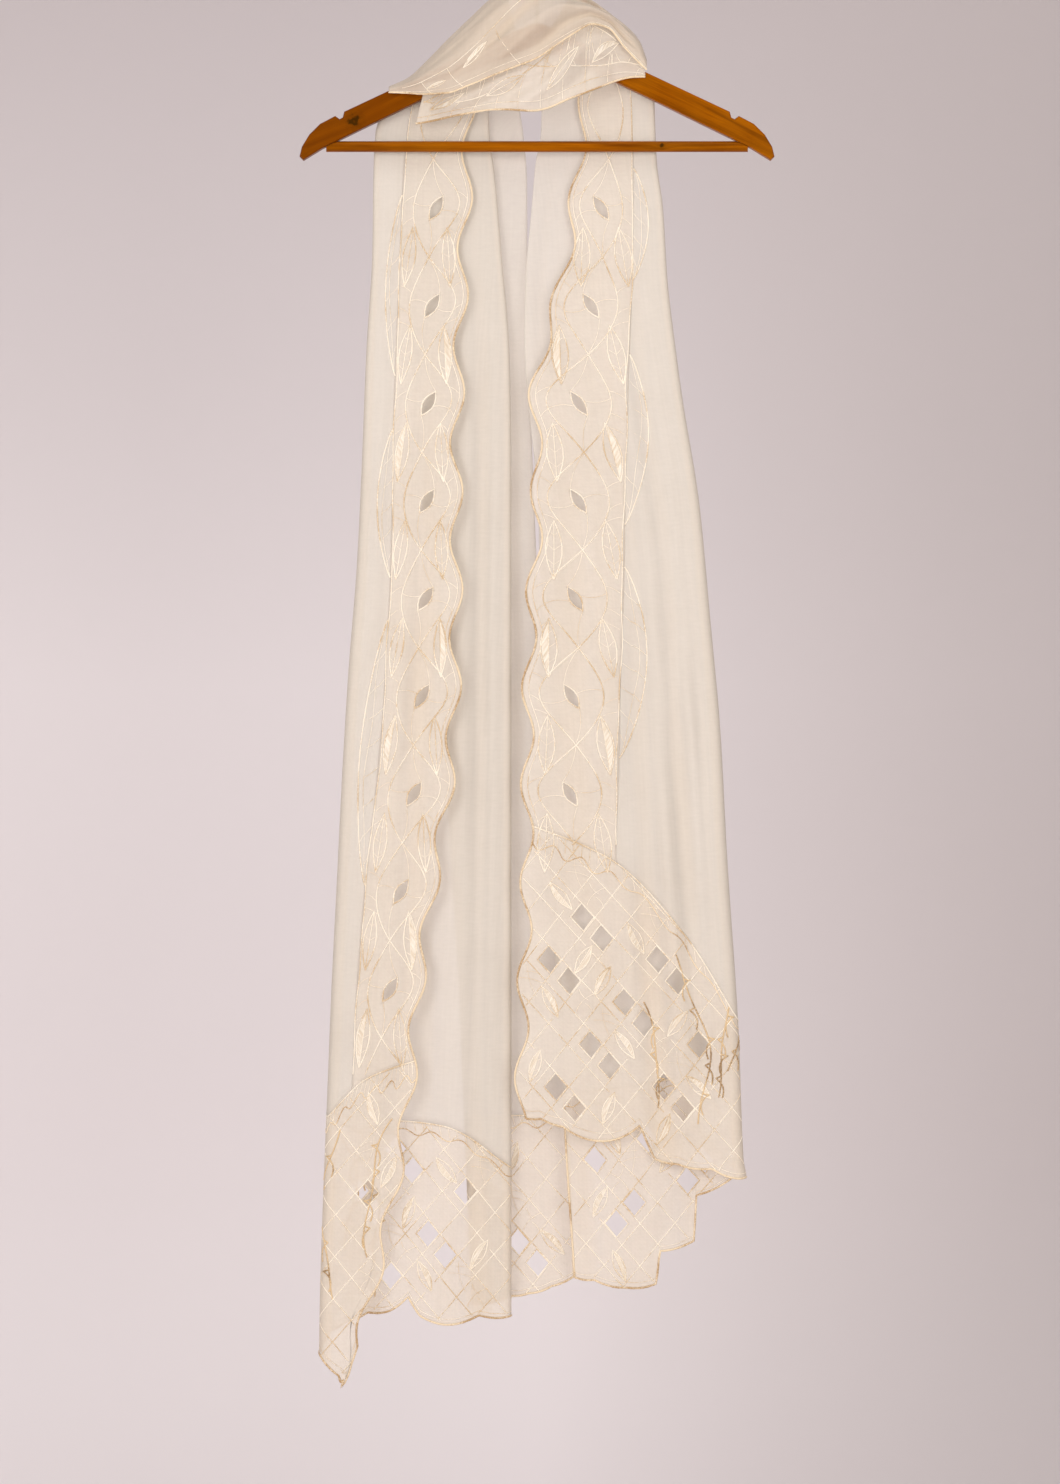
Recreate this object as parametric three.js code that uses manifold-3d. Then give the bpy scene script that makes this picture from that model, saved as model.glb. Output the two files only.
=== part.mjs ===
// An evening stole of sheer cream silk with cutwork lace, hung on a wooden coat hanger.
// Millimetres. +X is to the right, +Y is away from the front, +Z is up.
// The origin is the inner crown of the hanger's hook, where a rail holds it.
//
// The middle of the stole lies in front of the hanger's neck as a cowl with a lace swag under it.
// Both ends go back over the arms and hang down behind the arms and the trouser bar.
// Each end is folded lengthwise. A tail's section is a zigzag of layers, front to back.

import * as THREE from "three";
import { mergeVertices } from "three/addons/utils/BufferGeometryUtils.js";
import Module from "manifold-3d";

const wasm = await Module();
wasm.setup();

// Cloth
const CLOTH_WALL = 1.2;
const SEAM_GAP = 0.3;

// Hanger
const HANGER_HALF = 223; // middle to tip, a 446 mm suit hanger
const APEX_Z = -88; // top of the wood under the hook
const TOP_SLOPE = 0.47; // fall of an arm's upper edge for each millimetre outward
const LOW_SLOPE = 0.49;
const ARM_DEPTH = 20.7; // upper edge to lower edge, upright, at the middle
const WOOD_THICK = 12;
const WOOD_BEVEL = 2;
const BAR_Z = -205.4;
const BAR_RADIUS = 5.1;
const BAR_HALF = 198;
const HOOK_WIRE = 2; // radius of the steel wire
const HOOK_INNER = 20; // inner radius of the hook's round
const STEM_DEPTH = 24; // how far the hook's stem goes into the wood

// Left tail, from the front. edge is the free lace edge, lace the width of the lace border,
// outer, inner and hidden the three folds, rear the last edge, behind the right tail.
const LEFT_SECTIONS = [
  { z: -110, edge: -58, lace: 48, outer: -130, inner: -46, hidden: -122, rear: -17 },
  { z: -155, edge: -62, lace: 54, outer: -138, inner: -46, hidden: -128, rear: -17 },
  { z: -190, edge: -64, lace: 58, outer: -152, inner: -45, hidden: -136, rear: -13 },
  { z: -230, edge: -66, lace: 60, outer: -154, inner: -40, hidden: -134, rear: -9.5 },
  { z: -300, edge: -69, lace: 60, outer: -155, inner: -34, hidden: -128, rear: -9 },
  { z: -400, edge: -73, lace: 60, outer: -161, inner: -26, hidden: -120, rear: -8 },
  { z: -500, edge: -76, lace: 60, outer: -165, inner: -24.4, hidden: -112, rear: -4 },
  { z: -600, edge: -76, lace: 62, outer: -170, inner: -24.4, hidden: -102, rear: 0 },
  { z: -700, edge: -77, lace: 66, outer: -178, inner: -24.4, hidden: -94, rear: 6 },
  { z: -800, edge: -83, lace: 68, outer: -184, inner: -24.4, hidden: -86, rear: 12 },
  { z: -900, edge: -98, lace: 64, outer: -189, inner: -24.4, hidden: -80, rear: 18 },
  { z: -1000, edge: -112, lace: 58, outer: -194, inner: -24.4, hidden: -74, rear: 24 },
  { z: -1100, edge: -121, lace: 54, outer: -198, inner: -24.4, hidden: -70, rear: 28 },
  { z: -1200, edge: -137, lace: 50, outer: -202, inner: -24.4, hidden: -66, rear: 32 },
  { z: -1300, edge: -160, lace: 40, outer: -205, inner: -24.4, hidden: -62, rear: 36 },
  { z: -1380, edge: -182, lace: 20, outer: -206, inner: -24.4, hidden: -60, rear: 38 },
];

// Right tail: its outer fold is on the right, and its second layer ends at inner.
const RIGHT_SECTIONS = [
  { z: -100, edge: 44, lace: 41, outer: 94, inner: 6 },
  { z: -140, edge: 45, lace: 43, outer: 106, inner: 5 },
  { z: -160, edge: 45, lace: 44, outer: 110.5, inner: 4.5 },
  { z: -190, edge: 42, lace: 48, outer: 111.5, inner: 3.8 },
  { z: -220, edge: 39, lace: 52, outer: 113, inner: -1.5 },
  { z: -260, edge: 35, lace: 56, outer: 118.5, inner: -5 },
  { z: -330, edge: 24, lace: 66, outer: 123, inner: -11 },
  { z: -385, edge: 8, lace: 80, outer: 129.5, inner: -12 },
  { z: -440, edge: -2, lace: 88, outer: 137, inner: -9 },
  { z: -540, edge: 0, lace: 83, outer: 153, inner: 1 },
  { z: -650, edge: -6, lace: 87, outer: 163.5, inner: 3 },
  { z: -755, edge: -9, lace: 87, outer: 173, inner: 5 },
  { z: -875, edge: -9.5, lace: 84, outer: 179.5, inner: 10 },
  { z: -1035, edge: -14, lace: 84, outer: 190, inner: 22 },
  { z: -1160, edge: -16, lace: 84, outer: 195, inner: 28 },
  { z: -1175, edge: -16, lace: 84, outer: 197.4, inner: 29 },
  { z: -1290, edge: -16, lace: 84, outer: 199, inner: 37 },
];

// How far behind the hanger's middle plane each layer hangs.
const LEFT_DEPTHS = [
  { z: -100, front: 8.8, middle: 13.4, turned: 17.6, back: 22 },
  { z: -220, front: 8.8, middle: 14, turned: 18.4, back: 23 },
  { z: -400, front: 10, middle: 20, turned: 27, back: 34 },
  { z: -700, front: 10, middle: 26, turned: 36, back: 46 },
  { z: -1390, front: 10, middle: 28, turned: 39, back: 50 },
];
const RIGHT_DEPTHS = [
  { z: -100, front: 8.8, middle: 14 },
  { z: -220, front: 8.8, middle: 15 },
  { z: -400, front: 10, middle: 20 },
  { z: -700, front: 10, middle: 25 },
  { z: -1390, front: 10, middle: 28 },
];

// The neck, a row for each upright section. crown and ridge are the height and depth of the top,
// cord and front those of the cowl's corded lower edge, rim and swag those of the lace swag's.
const NECK_SECTIONS = [
  { x: -139, crown: -149.6, ridge: -1, cord: -156, front: -12, rim: -187, swag: -7.1 },
  { x: -121, crown: -141, ridge: 0, cord: -157.5, front: -17, rim: -186.5, swag: -6.9 },
  { x: -103, crown: -124.5, ridge: 0, cord: -159.5, front: -24, rim: -184, swag: -7.4 },
  { x: -85, crown: -107, ridge: -2, cord: -159.5, front: -31, rim: -181, swag: -15 },
  { x: -63, crown: -87, ridge: -6, cord: -152.8, front: -37, rim: -177.5, swag: -23 },
  { x: -40, crown: -67.5, ridge: -12, cord: -144, front: -41, rim: -175, swag: -28 },
  { x: -20, crown: -57.5, ridge: -16, cord: -136.5, front: -43, rim: -176.5, swag: -30 },
  { x: 0, crown: -54, ridge: -18, cord: -128.5, front: -43, rim: -178, swag: -31 },
  { x: 20, crown: -58.5, ridge: -16, cord: -114.5, front: -40, rim: -170, swag: -29 },
  { x: 36, crown: -67.5, ridge: -12, cord: -103.5, front: -36, rim: -163, swag: -25 },
  { x: 52, crown: -74, ridge: -8, cord: -95, front: -31, rim: -157, swag: -20.5 },
  { x: 66, crown: -81.5, ridge: -5, cord: -97.5, front: -25, rim: -150, swag: -16 },
  { x: 82, crown: -92.7, ridge: -2, cord: -115, front: -19, rim: -143, swag: -11 },
  { x: 96, crown: -106, ridge: 0, cord: -129, front: -14.5, rim: -141, swag: -7.5 },
  { x: 104, crown: -127, ridge: 0, cord: -136, front: -12, rim: -141, swag: -7.1 },
];
const FLAP_DROP = 5; // the top turns back and down this far before the tails' stretches begin
const FLAP_BACK = 8;
const NECK_STEP = 9.3; // the neck's sections lie this far apart, from its left end
const NECK_STEPS = 26;
const SWAG_STEPS = [3, 25];
const SHOULDER_STEPS = { left: [0, 12], right: [18, 25] };

// Lower edges, from the front: x and z of each scallop's ends and bottoms.
const LEFT_CORNER_HEM = [
  { x: -206, z: -1341 },
  { x: -199, z: -1351 },
  { x: -187, z: -1362 },
  { x: -180.5, z: -1375 },
  { x: -175, z: -1352 },
  { x: -160, z: -1305 },
];
const LEFT_MIDDLE_HEM = [
  { x: -206, z: -1341 },
  { x: -196, z: -1322 },
  { x: -180, z: -1313 },
  { x: -160, z: -1305 },
  { x: -139, z: -1303 },
  { x: -122, z: -1290 },
  { x: -111, z: -1308 },
  { x: -86, z: -1316 },
  { x: -55, z: -1308 },
  { x: -24, z: -1308 },
];
const LEFT_REAR_HEM = [
  { x: -62, z: -1298 },
  { x: -26, z: -1291 },
  { x: -8, z: -1289 },
  { x: 14, z: -1282 },
  { x: 38, z: -1271 },
];
const RIGHT_FRONT_HEM = [
  { x: -16, z: -1118 },
  { x: 4, z: -1120 },
  { x: 24, z: -1127 },
  { x: 50, z: -1140 },
  { x: 76, z: -1139 },
  { x: 97, z: -1126 },
  { x: 111, z: -1158 },
  { x: 133, z: -1163 },
  { x: 165, z: -1167 },
  { x: 186, z: -1176 },
  { x: 199, z: -1175 },
];
const RIGHT_REAR_HEM = [
  { x: 37, z: -1272 },
  { x: 54, z: -1274 },
  { x: 86, z: -1281 },
  { x: 113, z: -1277 },
  { x: 116, z: -1246 },
  { x: 149, z: -1237 },
  { x: 151, z: -1194 },
  { x: 185, z: -1177 },
  { x: 199, z: -1175 },
];

// Where the plain silk ends and the lace ends begin, from the front.
const LEFT_FRONT_JOIN = [
  { x: -197, z: -1118 },
  { x: -160, z: -1082 },
  { x: -110, z: -1064 },
];
const LEFT_MIDDLE_JOIN = [
  { x: -197, z: -1118 },
  { x: -90, z: -1128 },
  { x: -24, z: -1168 },
];
const RIGHT_FRONT_JOIN = [
  { x: -20, z: -838 },
  { x: 70, z: -876 },
  { x: 140, z: -948 },
  { x: 190, z: -1028 },
];
const RIGHT_MIDDLE_JOIN = [
  { x: 20, z: -1100 },
  { x: 140, z: -1080 },
  { x: 190, z: -1028 },
];
const LEFT_REAR_JOIN_Z = -1120;
const RIGHT_BORDER_END_Z = -850;

// Lace: one wave of the border's edge for each pair of leaves, and a trellis on the ends.
const EDGE_WAVE = 6;
const BORDER_PITCH = 92;
const EYELET_LONG = 26;
const EYELET_WIDE = 11;
const TRELLIS_WIDE = 34; // a lozenge across
const TRELLIS_TALL = 40;
const OPEN_SHARE = 0.66; // an open lozenge's size within its cell
const HOLE_MARGIN = 7; // cloth kept between an open lozenge and an edge

// Soft folds: waves across each layer, and their height at the top and at the hem.
const LEFT_WAVES = { front: 2, middle: 4, top: 0.6, hem: 3.4 };
const RIGHT_WAVES = { front: 4, middle: 4, top: 0.6, hem: 4.2 };
const FOLD_FADE = 22; // waves die out this far from a fold

// Numbers and tables

function mix(a, b, t) {
  return a + (b - a) * t;
}

function ease(t) {
  const u = Math.min(1, Math.max(0, t));
  return u * u * (3 - 2 * u);
}

// One column of a table at a place between its rows, with smooth slopes that never overshoot.
function column(rows, key, name, at) {
  const up = rows[1][key] > rows[0][key];
  const order = up ? rows : [...rows].reverse();
  const last = order.length - 1;
  if (at <= order[0][key]) return order[0][name];
  if (at >= order[last][key]) return order[last][name];
  let i = 0;
  while (at > order[i + 1][key]) i += 1;
  const secant = (k) => {
    const [a, b] = [order[k], order[k + 1]];
    return (b[name] - a[name]) / (b[key] - a[key]);
  };
  const slope = (k) => {
    if (k === 0) return secant(0);
    if (k === last) return secant(last - 1);
    const [before, after] = [secant(k - 1), secant(k)];
    if (before * after <= 0) return 0;
    return (2 * before * after) / (before + after);
  };
  const span = order[i + 1][key] - order[i][key];
  const t = (at - order[i][key]) / span;
  const [p0, p1] = [order[i][name], order[i + 1][name]];
  const [m0, m1] = [slope(i) * span, slope(i + 1) * span];
  const [t2, t3] = [t * t, t * t * t];
  return (2 * t3 - 3 * t2 + 1) * p0 + (t3 - 2 * t2 + t) * m0 + (3 * t2 - 2 * t3) * p1 + (t3 - t2) * m1;
}

// Straight from row to row, which keeps the points of a scalloped hem.
function straight(rows, at) {
  const last = rows.length - 1;
  if (at <= rows[0].x) return rows[0].z;
  if (at >= rows[last].x) return rows[last].z;
  let i = 0;
  while (at > rows[i + 1].x) i += 1;
  return mix(rows[i].z, rows[i + 1].z, (at - rows[i].x) / (rows[i + 1].x - rows[i].x));
}

function joinAt(rows, x) {
  return column(rows, "x", "z", x);
}

// Solids

function solidOf(geometry) {
  const plain = new THREE.BufferGeometry();
  plain.setAttribute("position", geometry.getAttribute("position").clone());
  if (geometry.index) plain.setIndex(geometry.index.clone());
  const merged = mergeVertices(plain, 1e-4);
  return new wasm.Manifold(
    new wasm.Mesh({
      numProp: 3,
      vertProperties: new Float32Array(merged.attributes.position.array),
      triVerts: new Uint32Array(merged.index.array),
    }),
  );
}

function geometryOf(solid) {
  const mesh = solid.getMesh();
  const stride = mesh.numProp;
  const points = new Float32Array(mesh.numVert * 3);
  for (let i = 0; i < mesh.numVert; i += 1) {
    points.set(mesh.vertProperties.subarray(i * stride, i * stride + 3), i * 3);
  }
  const geometry = new THREE.BufferGeometry();
  geometry.setAttribute("position", new THREE.BufferAttribute(points, 3));
  geometry.setIndex(new THREE.BufferAttribute(new Uint32Array(mesh.triVerts), 1));
  return geometry;
}

// The triangles of a wall over a grid of across by down cells: face, back and the four edges.
function wallTriangles(across, down) {
  const stride = across + 1;
  const layer = stride * (down + 1);
  const triangles = [];
  const quad = (a, b, c, d) => triangles.push(a, b, c, a, c, d);
  for (let j = 0; j < down; j += 1) {
    for (let i = 0; i < across; i += 1) {
      const a = j * stride + i;
      quad(a, a + 1, a + 1 + stride, a + stride);
      quad(layer + a, layer + a + stride, layer + a + 1 + stride, layer + a + 1);
    }
  }
  for (let i = 0; i < across; i += 1) {
    const low = down * stride + i;
    quad(i + 1, i, layer + i, layer + i + 1);
    quad(low, low + 1, layer + low + 1, layer + low);
  }
  for (let j = 0; j < down; j += 1) {
    const left = j * stride;
    const right = left + across;
    quad(left, left + stride, layer + left + stride, layer + left);
    quad(right + stride, right, layer + right, layer + right + stride);
  }
  return triangles;
}

// A flat slab of cloth in its own plane, cut through, then draped: each of its points is put on
// the surface place(s, z) and moved half a wall out along that surface's normal.
function drapedSheet(region, place, holes) {
  const { across, down, at } = region;
  const points = [];
  for (const side of [-1, 1]) {
    for (let j = 0; j <= down; j += 1) {
      for (let i = 0; i <= across; i += 1) {
        const flat = at(i / across, j / down);
        points.push(flat.s, flat.z, side);
      }
    }
  }
  const triangles = wallTriangles(across, down);
  const faces = triangles.length / 3;
  let slab = new wasm.Manifold(
    new wasm.Mesh({
      numProp: 3,
      vertProperties: new Float32Array(points),
      triVerts: new Uint32Array(triangles),
      faceID: Uint32Array.from({ length: faces }, (_, i) => i),
    }),
  );
  if (slab.volume() < 0) throw new Error("a slab's grid runs the wrong way round");
  for (const hole of holes) slab = slab.subtract(hole);
  const geometry = geometryOf(slab);
  drape(geometry.getAttribute("position"), place);
  return facingOut(geometry);
}

function drape(position, place) {
  const step = 0.05;
  for (let i = 0; i < position.count; i += 1) {
    const s = position.getX(i);
    const z = position.getY(i);
    const side = position.getZ(i);
    const across = place(s + step, z).sub(place(s - step, z));
    const down = place(s, z + step).sub(place(s, z - step));
    const normal = across.cross(down).normalize();
    const point = place(s, z).addScaledVector(normal, (side * CLOTH_WALL) / 2);
    position.setXYZ(i, point.x, point.y, point.z);
  }
}

// Turns every face round where a draped sheet came out with its inside out.
function facingOut(geometry) {
  const index = geometry.getIndex().array;
  const p = geometry.getAttribute("position");
  const [a, b, c] = [new THREE.Vector3(), new THREE.Vector3(), new THREE.Vector3()];
  let volume = 0;
  for (let i = 0; i < index.length; i += 3) {
    a.fromBufferAttribute(p, index[i]);
    b.fromBufferAttribute(p, index[i + 1]);
    c.fromBufferAttribute(p, index[i + 2]);
    volume += a.dot(b.cross(c));
  }
  if (volume < 0) {
    for (let i = 0; i < index.length; i += 3) {
      [index[i + 1], index[i + 2]] = [index[i + 2], index[i + 1]];
    }
  }
  return geometry;
}

// Tails

// Where the cloth of a folded tail lies in plan. s is the way along the cloth from the crown of
// the outer fold: negative on the front layer, positive on the layers behind it.
function foldedPlan(s, turns, depths, inward) {
  const radii = turns.map((_, k) => (depths[k + 1] - depths[k]) / 2);
  let along = s + (radii[0] * Math.PI) / 2;
  if (along < 0) {
    return { x: turns[0] + inward * (radii[0] - along), y: depths[0], clear: -along, layer: 0 };
  }
  let heading = inward;
  for (let k = 0; k < turns.length; k += 1) {
    const r = radii[k];
    const centre = turns[k] + heading * r;
    if (along <= Math.PI * r) {
      const turn = along / r;
      const y = depths[k] + r * (1 - Math.cos(turn));
      return { x: centre - heading * r * Math.sin(turn), y, clear: 0, layer: k + 1 };
    }
    along -= Math.PI * r;
    const more = k + 1 < turns.length;
    const run = more ? Math.abs(turns[k + 1] - turns[k]) - r - radii[k + 1] : Infinity;
    if (along <= run) {
      const clear = Math.min(along, run - along);
      return { x: centre + heading * along, y: depths[k + 1], clear, layer: k + 1 };
    }
    along -= run;
    heading = -heading;
  }
  return null;
}

function leftTurns(z) {
  return ["outer", "inner", "hidden"].map((name) => column(LEFT_SECTIONS, "z", name, z));
}

function leftDepths(z) {
  return ["front", "middle", "turned", "back"].map((name) => column(LEFT_DEPTHS, "z", name, z));
}

function rightTurns(z) {
  return [column(RIGHT_SECTIONS, "z", "outer", z)];
}

function rightDepths(z) {
  return ["front", "middle"].map((name) => column(RIGHT_DEPTHS, "z", name, z));
}

function softFold(plan, z, waves, outer, inner) {
  const height = mix(waves.top, waves.hem, ease((-180 - z) / 700));
  const across = (plan.x - outer) / (inner - outer);
  const count = plan.layer === 0 ? waves.front : waves.middle;
  const phase = plan.layer === 0 ? 0.4 : 1.6;
  const fade = ease(plan.clear / FOLD_FADE);
  return height * fade * Math.sin(2 * Math.PI * count * across + phase);
}

function leftTail(s, z) {
  const turns = leftTurns(z);
  const plan = foldedPlan(s, turns, leftDepths(z), 1);
  const inner = plan.layer === 0 ? column(LEFT_SECTIONS, "z", "edge", z) : turns[1];
  return new THREE.Vector3(plan.x, plan.y + softFold(plan, z, LEFT_WAVES, turns[0], inner), z);
}

function rightTail(s, z) {
  const turns = rightTurns(z);
  const plan = foldedPlan(s, turns, rightDepths(z), -1);
  const inner = column(RIGHT_SECTIONS, "z", plan.layer === 0 ? "edge" : "inner", z);
  return new THREE.Vector3(plan.x, plan.y + softFold(plan, z, RIGHT_WAVES, turns[0], inner), z);
}

// The way along the cloth of a point x on a given layer.
function alongLayer(layer, x, turns, depths) {
  const radii = turns.map((_, k) => (depths[k + 1] - depths[k]) / 2);
  if (layer === 0) return -(Math.abs(x - turns[0]) - radii[0]) - (radii[0] * Math.PI) / 2;
  let s = (-radii[0] * Math.PI) / 2;
  for (let k = 0; k < layer; k += 1) {
    s += Math.PI * radii[k];
    if (k + 1 === layer) return s + Math.abs(x - turns[k]) - radii[k];
    s += Math.abs(turns[k + 1] - turns[k]) - radii[k] - radii[k + 1];
  }
  return s;
}

function leftAlong(layer, x, z) {
  return alongLayer(layer, x, leftTurns(z), leftDepths(z));
}

function rightAlong(layer, x, z) {
  return alongLayer(layer, x, rightTurns(z), rightDepths(z));
}

// The crown of the left tail's inner fold, where its middle layer turns back.
function leftInnerCrown(z) {
  const [outer, inner] = leftTurns(z);
  const [front, middle, turned] = leftDepths(z);
  const [r0, r1] = [(middle - front) / 2, (turned - middle) / 2];
  return (r0 * Math.PI) / 2 + Math.abs(inner - outer) - r0 - r1 + (r1 * Math.PI) / 2;
}

function armTop(x) {
  return APEX_Z - TOP_SLOPE * Math.abs(x);
}

// The tails' tops follow the arms' upper edges, a little lower.
function tailTop(x) {
  return armTop(x) - 7;
}

function edgeWave(z) {
  return EDGE_WAVE * Math.sin((2 * Math.PI * z) / BORDER_PITCH);
}

function leftEdge(z) {
  return leftAlong(0, column(LEFT_SECTIONS, "z", "edge", z) + edgeWave(z), z);
}

function leftSeam(z) {
  const edge = column(LEFT_SECTIONS, "z", "edge", z);
  return leftAlong(0, edge - column(LEFT_SECTIONS, "z", "lace", z), z);
}

function rightEdge(z) {
  return rightAlong(0, column(RIGHT_SECTIONS, "z", "edge", z) - edgeWave(z), z);
}

function rightSeam(z) {
  const edge = column(RIGHT_SECTIONS, "z", "edge", z);
  return rightAlong(0, edge + column(RIGHT_SECTIONS, "z", "lace", z), z);
}

// A region of a tail's flat cloth between two side lines and between a top and a bottom line.
// The ends are functions of the cloth's place in front view, so they are found by a few steps.
// crowd above 1 gives more rows near the top, where the cloth spreads from the arm.
function tailRegion({ across, down, start, end, place, high, low, crowd = 1 }) {
  const at = (a, t) => {
    const settle = (line, from) => {
      let z = from;
      for (let i = 0; i < 8; i += 1) {
        z = line(place(mix(start(z), end(z), a), z));
      }
      return z;
    };
    const z = mix(settle(high, -200), settle(low, -1100), t ** crowd);
    return { s: mix(start(z), end(z), a), z };
  };
  return { across, down, at };
}

const GAP = SEAM_GAP; // from each side of a seam, since the two pieces' chords differ a little

// Lace

function prism(outline) {
  const shape = new THREE.Shape(outline.map(([s, z]) => new THREE.Vector2(s, z)));
  const geometry = new THREE.ExtrudeGeometry(shape, { depth: 6, bevelEnabled: false });
  geometry.translate(0, 0, -3);
  return solidOf(geometry);
}

function lozenge(s, z, wide, tall) {
  return [
    [s + wide / 2, z],
    [s, z + tall / 2],
    [s - wide / 2, z],
    [s, z - tall / 2],
  ];
}

// A pointed oval, its long way upright before it is turned.
function leafOutline(s, z, long, wide, turn) {
  const points = [];
  const steps = 5;
  for (const side of [1, -1]) {
    for (let i = 0; i < steps; i += 1) {
      const t = i / steps;
      const along = side * (t - 0.5) * long;
      const out = side * (wide / 2) * Math.sin(Math.PI * t);
      const c = Math.cos(turn);
      const q = Math.sin(turn);
      points.push([s + out * c - along * q, z + out * q + along * c]);
    }
  }
  return points;
}

// Open lozenges of a trellis: one cell in three along each row, shifted from row to row.
function openLozenges(keep, originS, sMin, sMax, zMin, zMax) {
  const holes = [];
  const rows = Math.ceil((zMax - zMin) / (TRELLIS_TALL / 2));
  const columns = Math.ceil((sMax - sMin) / TRELLIS_WIDE);
  for (let j = 0; j <= rows; j += 1) {
    for (let i = -columns; i <= columns; i += 1) {
      if ((((i - j) % 3) + 3) % 3 !== 0) continue;
      const s = originS + (i + (j % 2) / 2) * TRELLIS_WIDE;
      const z = zMax - (j * TRELLIS_TALL) / 2;
      if (s < sMin || s > sMax || z < zMin) continue;
      if (!keep(s, z)) continue;
      holes.push(prism(lozenge(s, z, TRELLIS_WIDE * OPEN_SHARE, TRELLIS_TALL * OPEN_SHARE)));
    }
  }
  return holes;
}

// Whether an open lozenge at s, z stays clear of the region's edges and of the folds.
function clearOf(place, plan, start, end, high, low) {
  const half = [(TRELLIS_WIDE * OPEN_SHARE) / 2, (TRELLIS_TALL * OPEN_SHARE) / 2];
  return (s, z) => {
    for (const [ds, dz] of [[1, 0], [-1, 0], [0, 1], [0, -1]]) {
      const reachS = s + ds * (half[0] + HOLE_MARGIN);
      const reachZ = z + dz * (half[1] + HOLE_MARGIN);
      if (reachS < start(reachZ) || reachS > end(reachZ)) return false;
      const point = place(reachS, reachZ);
      if (reachZ > high(point) || reachZ < low(point)) return false;
      if (plan(reachS, reachZ) < 4) return false;
    }
    return true;
  };
}

// Leaf-shaped eyelets along a border, one for each wave of its edge.
function eyelets(from, to, middle, turn) {
  const holes = [];
  for (let z = from; z > to; z -= BORDER_PITCH) {
    const place = middle(z);
    holes.push(prism(leafOutline(place, z, EYELET_LONG, EYELET_WIDE, turn)));
  }
  return holes;
}

function leftLaceBorder() {
  const region = tailRegion({
    across: 6,
    down: 36,
    crowd: 1.2,
    start: leftEdge,
    end: (z) => leftSeam(z) - GAP,
    place: leftTail,
    high: (p) => tailTop(p.x),
    low: (p) => joinAt(LEFT_FRONT_JOIN, p.x) + GAP,
  });
  const middle = (z) => mix(leftEdge(z), leftSeam(z), 0.5);
  return drapedSheet(region, leftTail, eyelets(-262, -1040, middle, 0.5));
}

function leftPanel() {
  const region = tailRegion({
    across: 25,
    down: 17,
    crowd: 1.2,
    start: (z) => leftSeam(z) + GAP,
    end: (z) => leftInnerCrown(z) - GAP,
    place: leftTail,
    high: (p) => tailTop(p.x),
    low: (p) => joinAt(isLeftFront(p) ? LEFT_FRONT_JOIN : LEFT_MIDDLE_JOIN, p.x) + GAP,
  });
  return drapedSheet(region, leftTail, []);
}

function isLeftFront(point) {
  const [front, middle] = leftDepths(point.z);
  return point.y < (front + middle) / 2;
}

function leftLaceCorner() {
  const start = leftEdge;
  const end = () => -GAP;
  const high = (p) => joinAt(LEFT_FRONT_JOIN, p.x) - GAP;
  const low = (p) => straight(LEFT_CORNER_HEM, p.x);
  const region = tailRegion({ across: 9, down: 10, start, end, place: leftTail, high, low });
  const plan = (s, z) => foldedPlan(s, leftTurns(z), leftDepths(z), 1).clear;
  const keep = clearOf(leftTail, plan, start, end, high, low);
  return drapedSheet(region, leftTail, openLozenges(keep, -30, -100, 0, -1380, -1090));
}

function leftLaceEnd() {
  const start = () => GAP;
  const end = (z) => leftInnerCrown(z) - GAP;
  const high = (p) => joinAt(LEFT_MIDDLE_JOIN, p.x) - GAP;
  const low = (p) => straight(LEFT_MIDDLE_HEM, p.x);
  const region = tailRegion({ across: 21, down: 6, start, end, place: leftTail, high, low });
  const plan = (s, z) => foldedPlan(s, leftTurns(z), leftDepths(z), 1).clear;
  const keep = clearOf(leftTail, plan, start, end, high, low);
  return drapedSheet(region, leftTail, openLozenges(keep, 20, 0, 200, -1340, -1130));
}

function leftRear(z) {
  return leftAlong(3, column(LEFT_SECTIONS, "z", "rear", z), z);
}

function leftBack() {
  const region = tailRegion({
    across: 17,
    down: 15,
    crowd: 1.2,
    start: (z) => leftInnerCrown(z) + GAP,
    end: leftRear,
    place: leftTail,
    high: (p) => tailTop(p.x),
    low: () => LEFT_REAR_JOIN_Z + GAP,
  });
  return drapedSheet(region, leftTail, []);
}

function leftBackEnd() {
  const start = (z) => leftInnerCrown(z) + GAP;
  const high = () => LEFT_REAR_JOIN_Z - GAP;
  const low = (p) => straight(LEFT_REAR_HEM, p.x);
  const region = tailRegion({
    across: 18,
    down: 5,
    start,
    end: leftRear,
    place: leftTail,
    high,
    low,
  });
  const plan = (s, z) => foldedPlan(s, leftTurns(z), leftDepths(z), 1).clear;
  const keep = clearOf(leftTail, plan, start, leftRear, high, low);
  return drapedSheet(region, leftTail, openLozenges(keep, 300, 180, 360, -1300, -1140));
}

function rightLaceBorder() {
  const region = tailRegion({
    across: 7,
    down: 27,
    crowd: 1.2,
    start: rightEdge,
    end: (z) => rightSeam(z) - GAP,
    place: rightTail,
    high: (p) => tailTop(p.x),
    low: (p) => joinAt(RIGHT_FRONT_JOIN, p.x) + GAP,
  });
  const middle = (z) => mix(rightEdge(z), rightSeam(z), 0.5);
  return drapedSheet(region, rightTail, eyelets(-262, RIGHT_BORDER_END_Z + 30, middle, 0.5));
}

function rightPanel() {
  const region = tailRegion({
    across: 28,
    down: 17,
    crowd: 1.2,
    start: (z) => rightSeam(z) + GAP,
    end: (z) => rightAlong(1, column(RIGHT_SECTIONS, "z", "inner", z), z),
    place: rightTail,
    high: (p) => tailTop(p.x),
    low: (p) => joinAt(isRightFront(p) ? RIGHT_FRONT_JOIN : RIGHT_MIDDLE_JOIN, p.x) + 1.5 * GAP,
  });
  return drapedSheet(region, rightTail, []);
}

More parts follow.
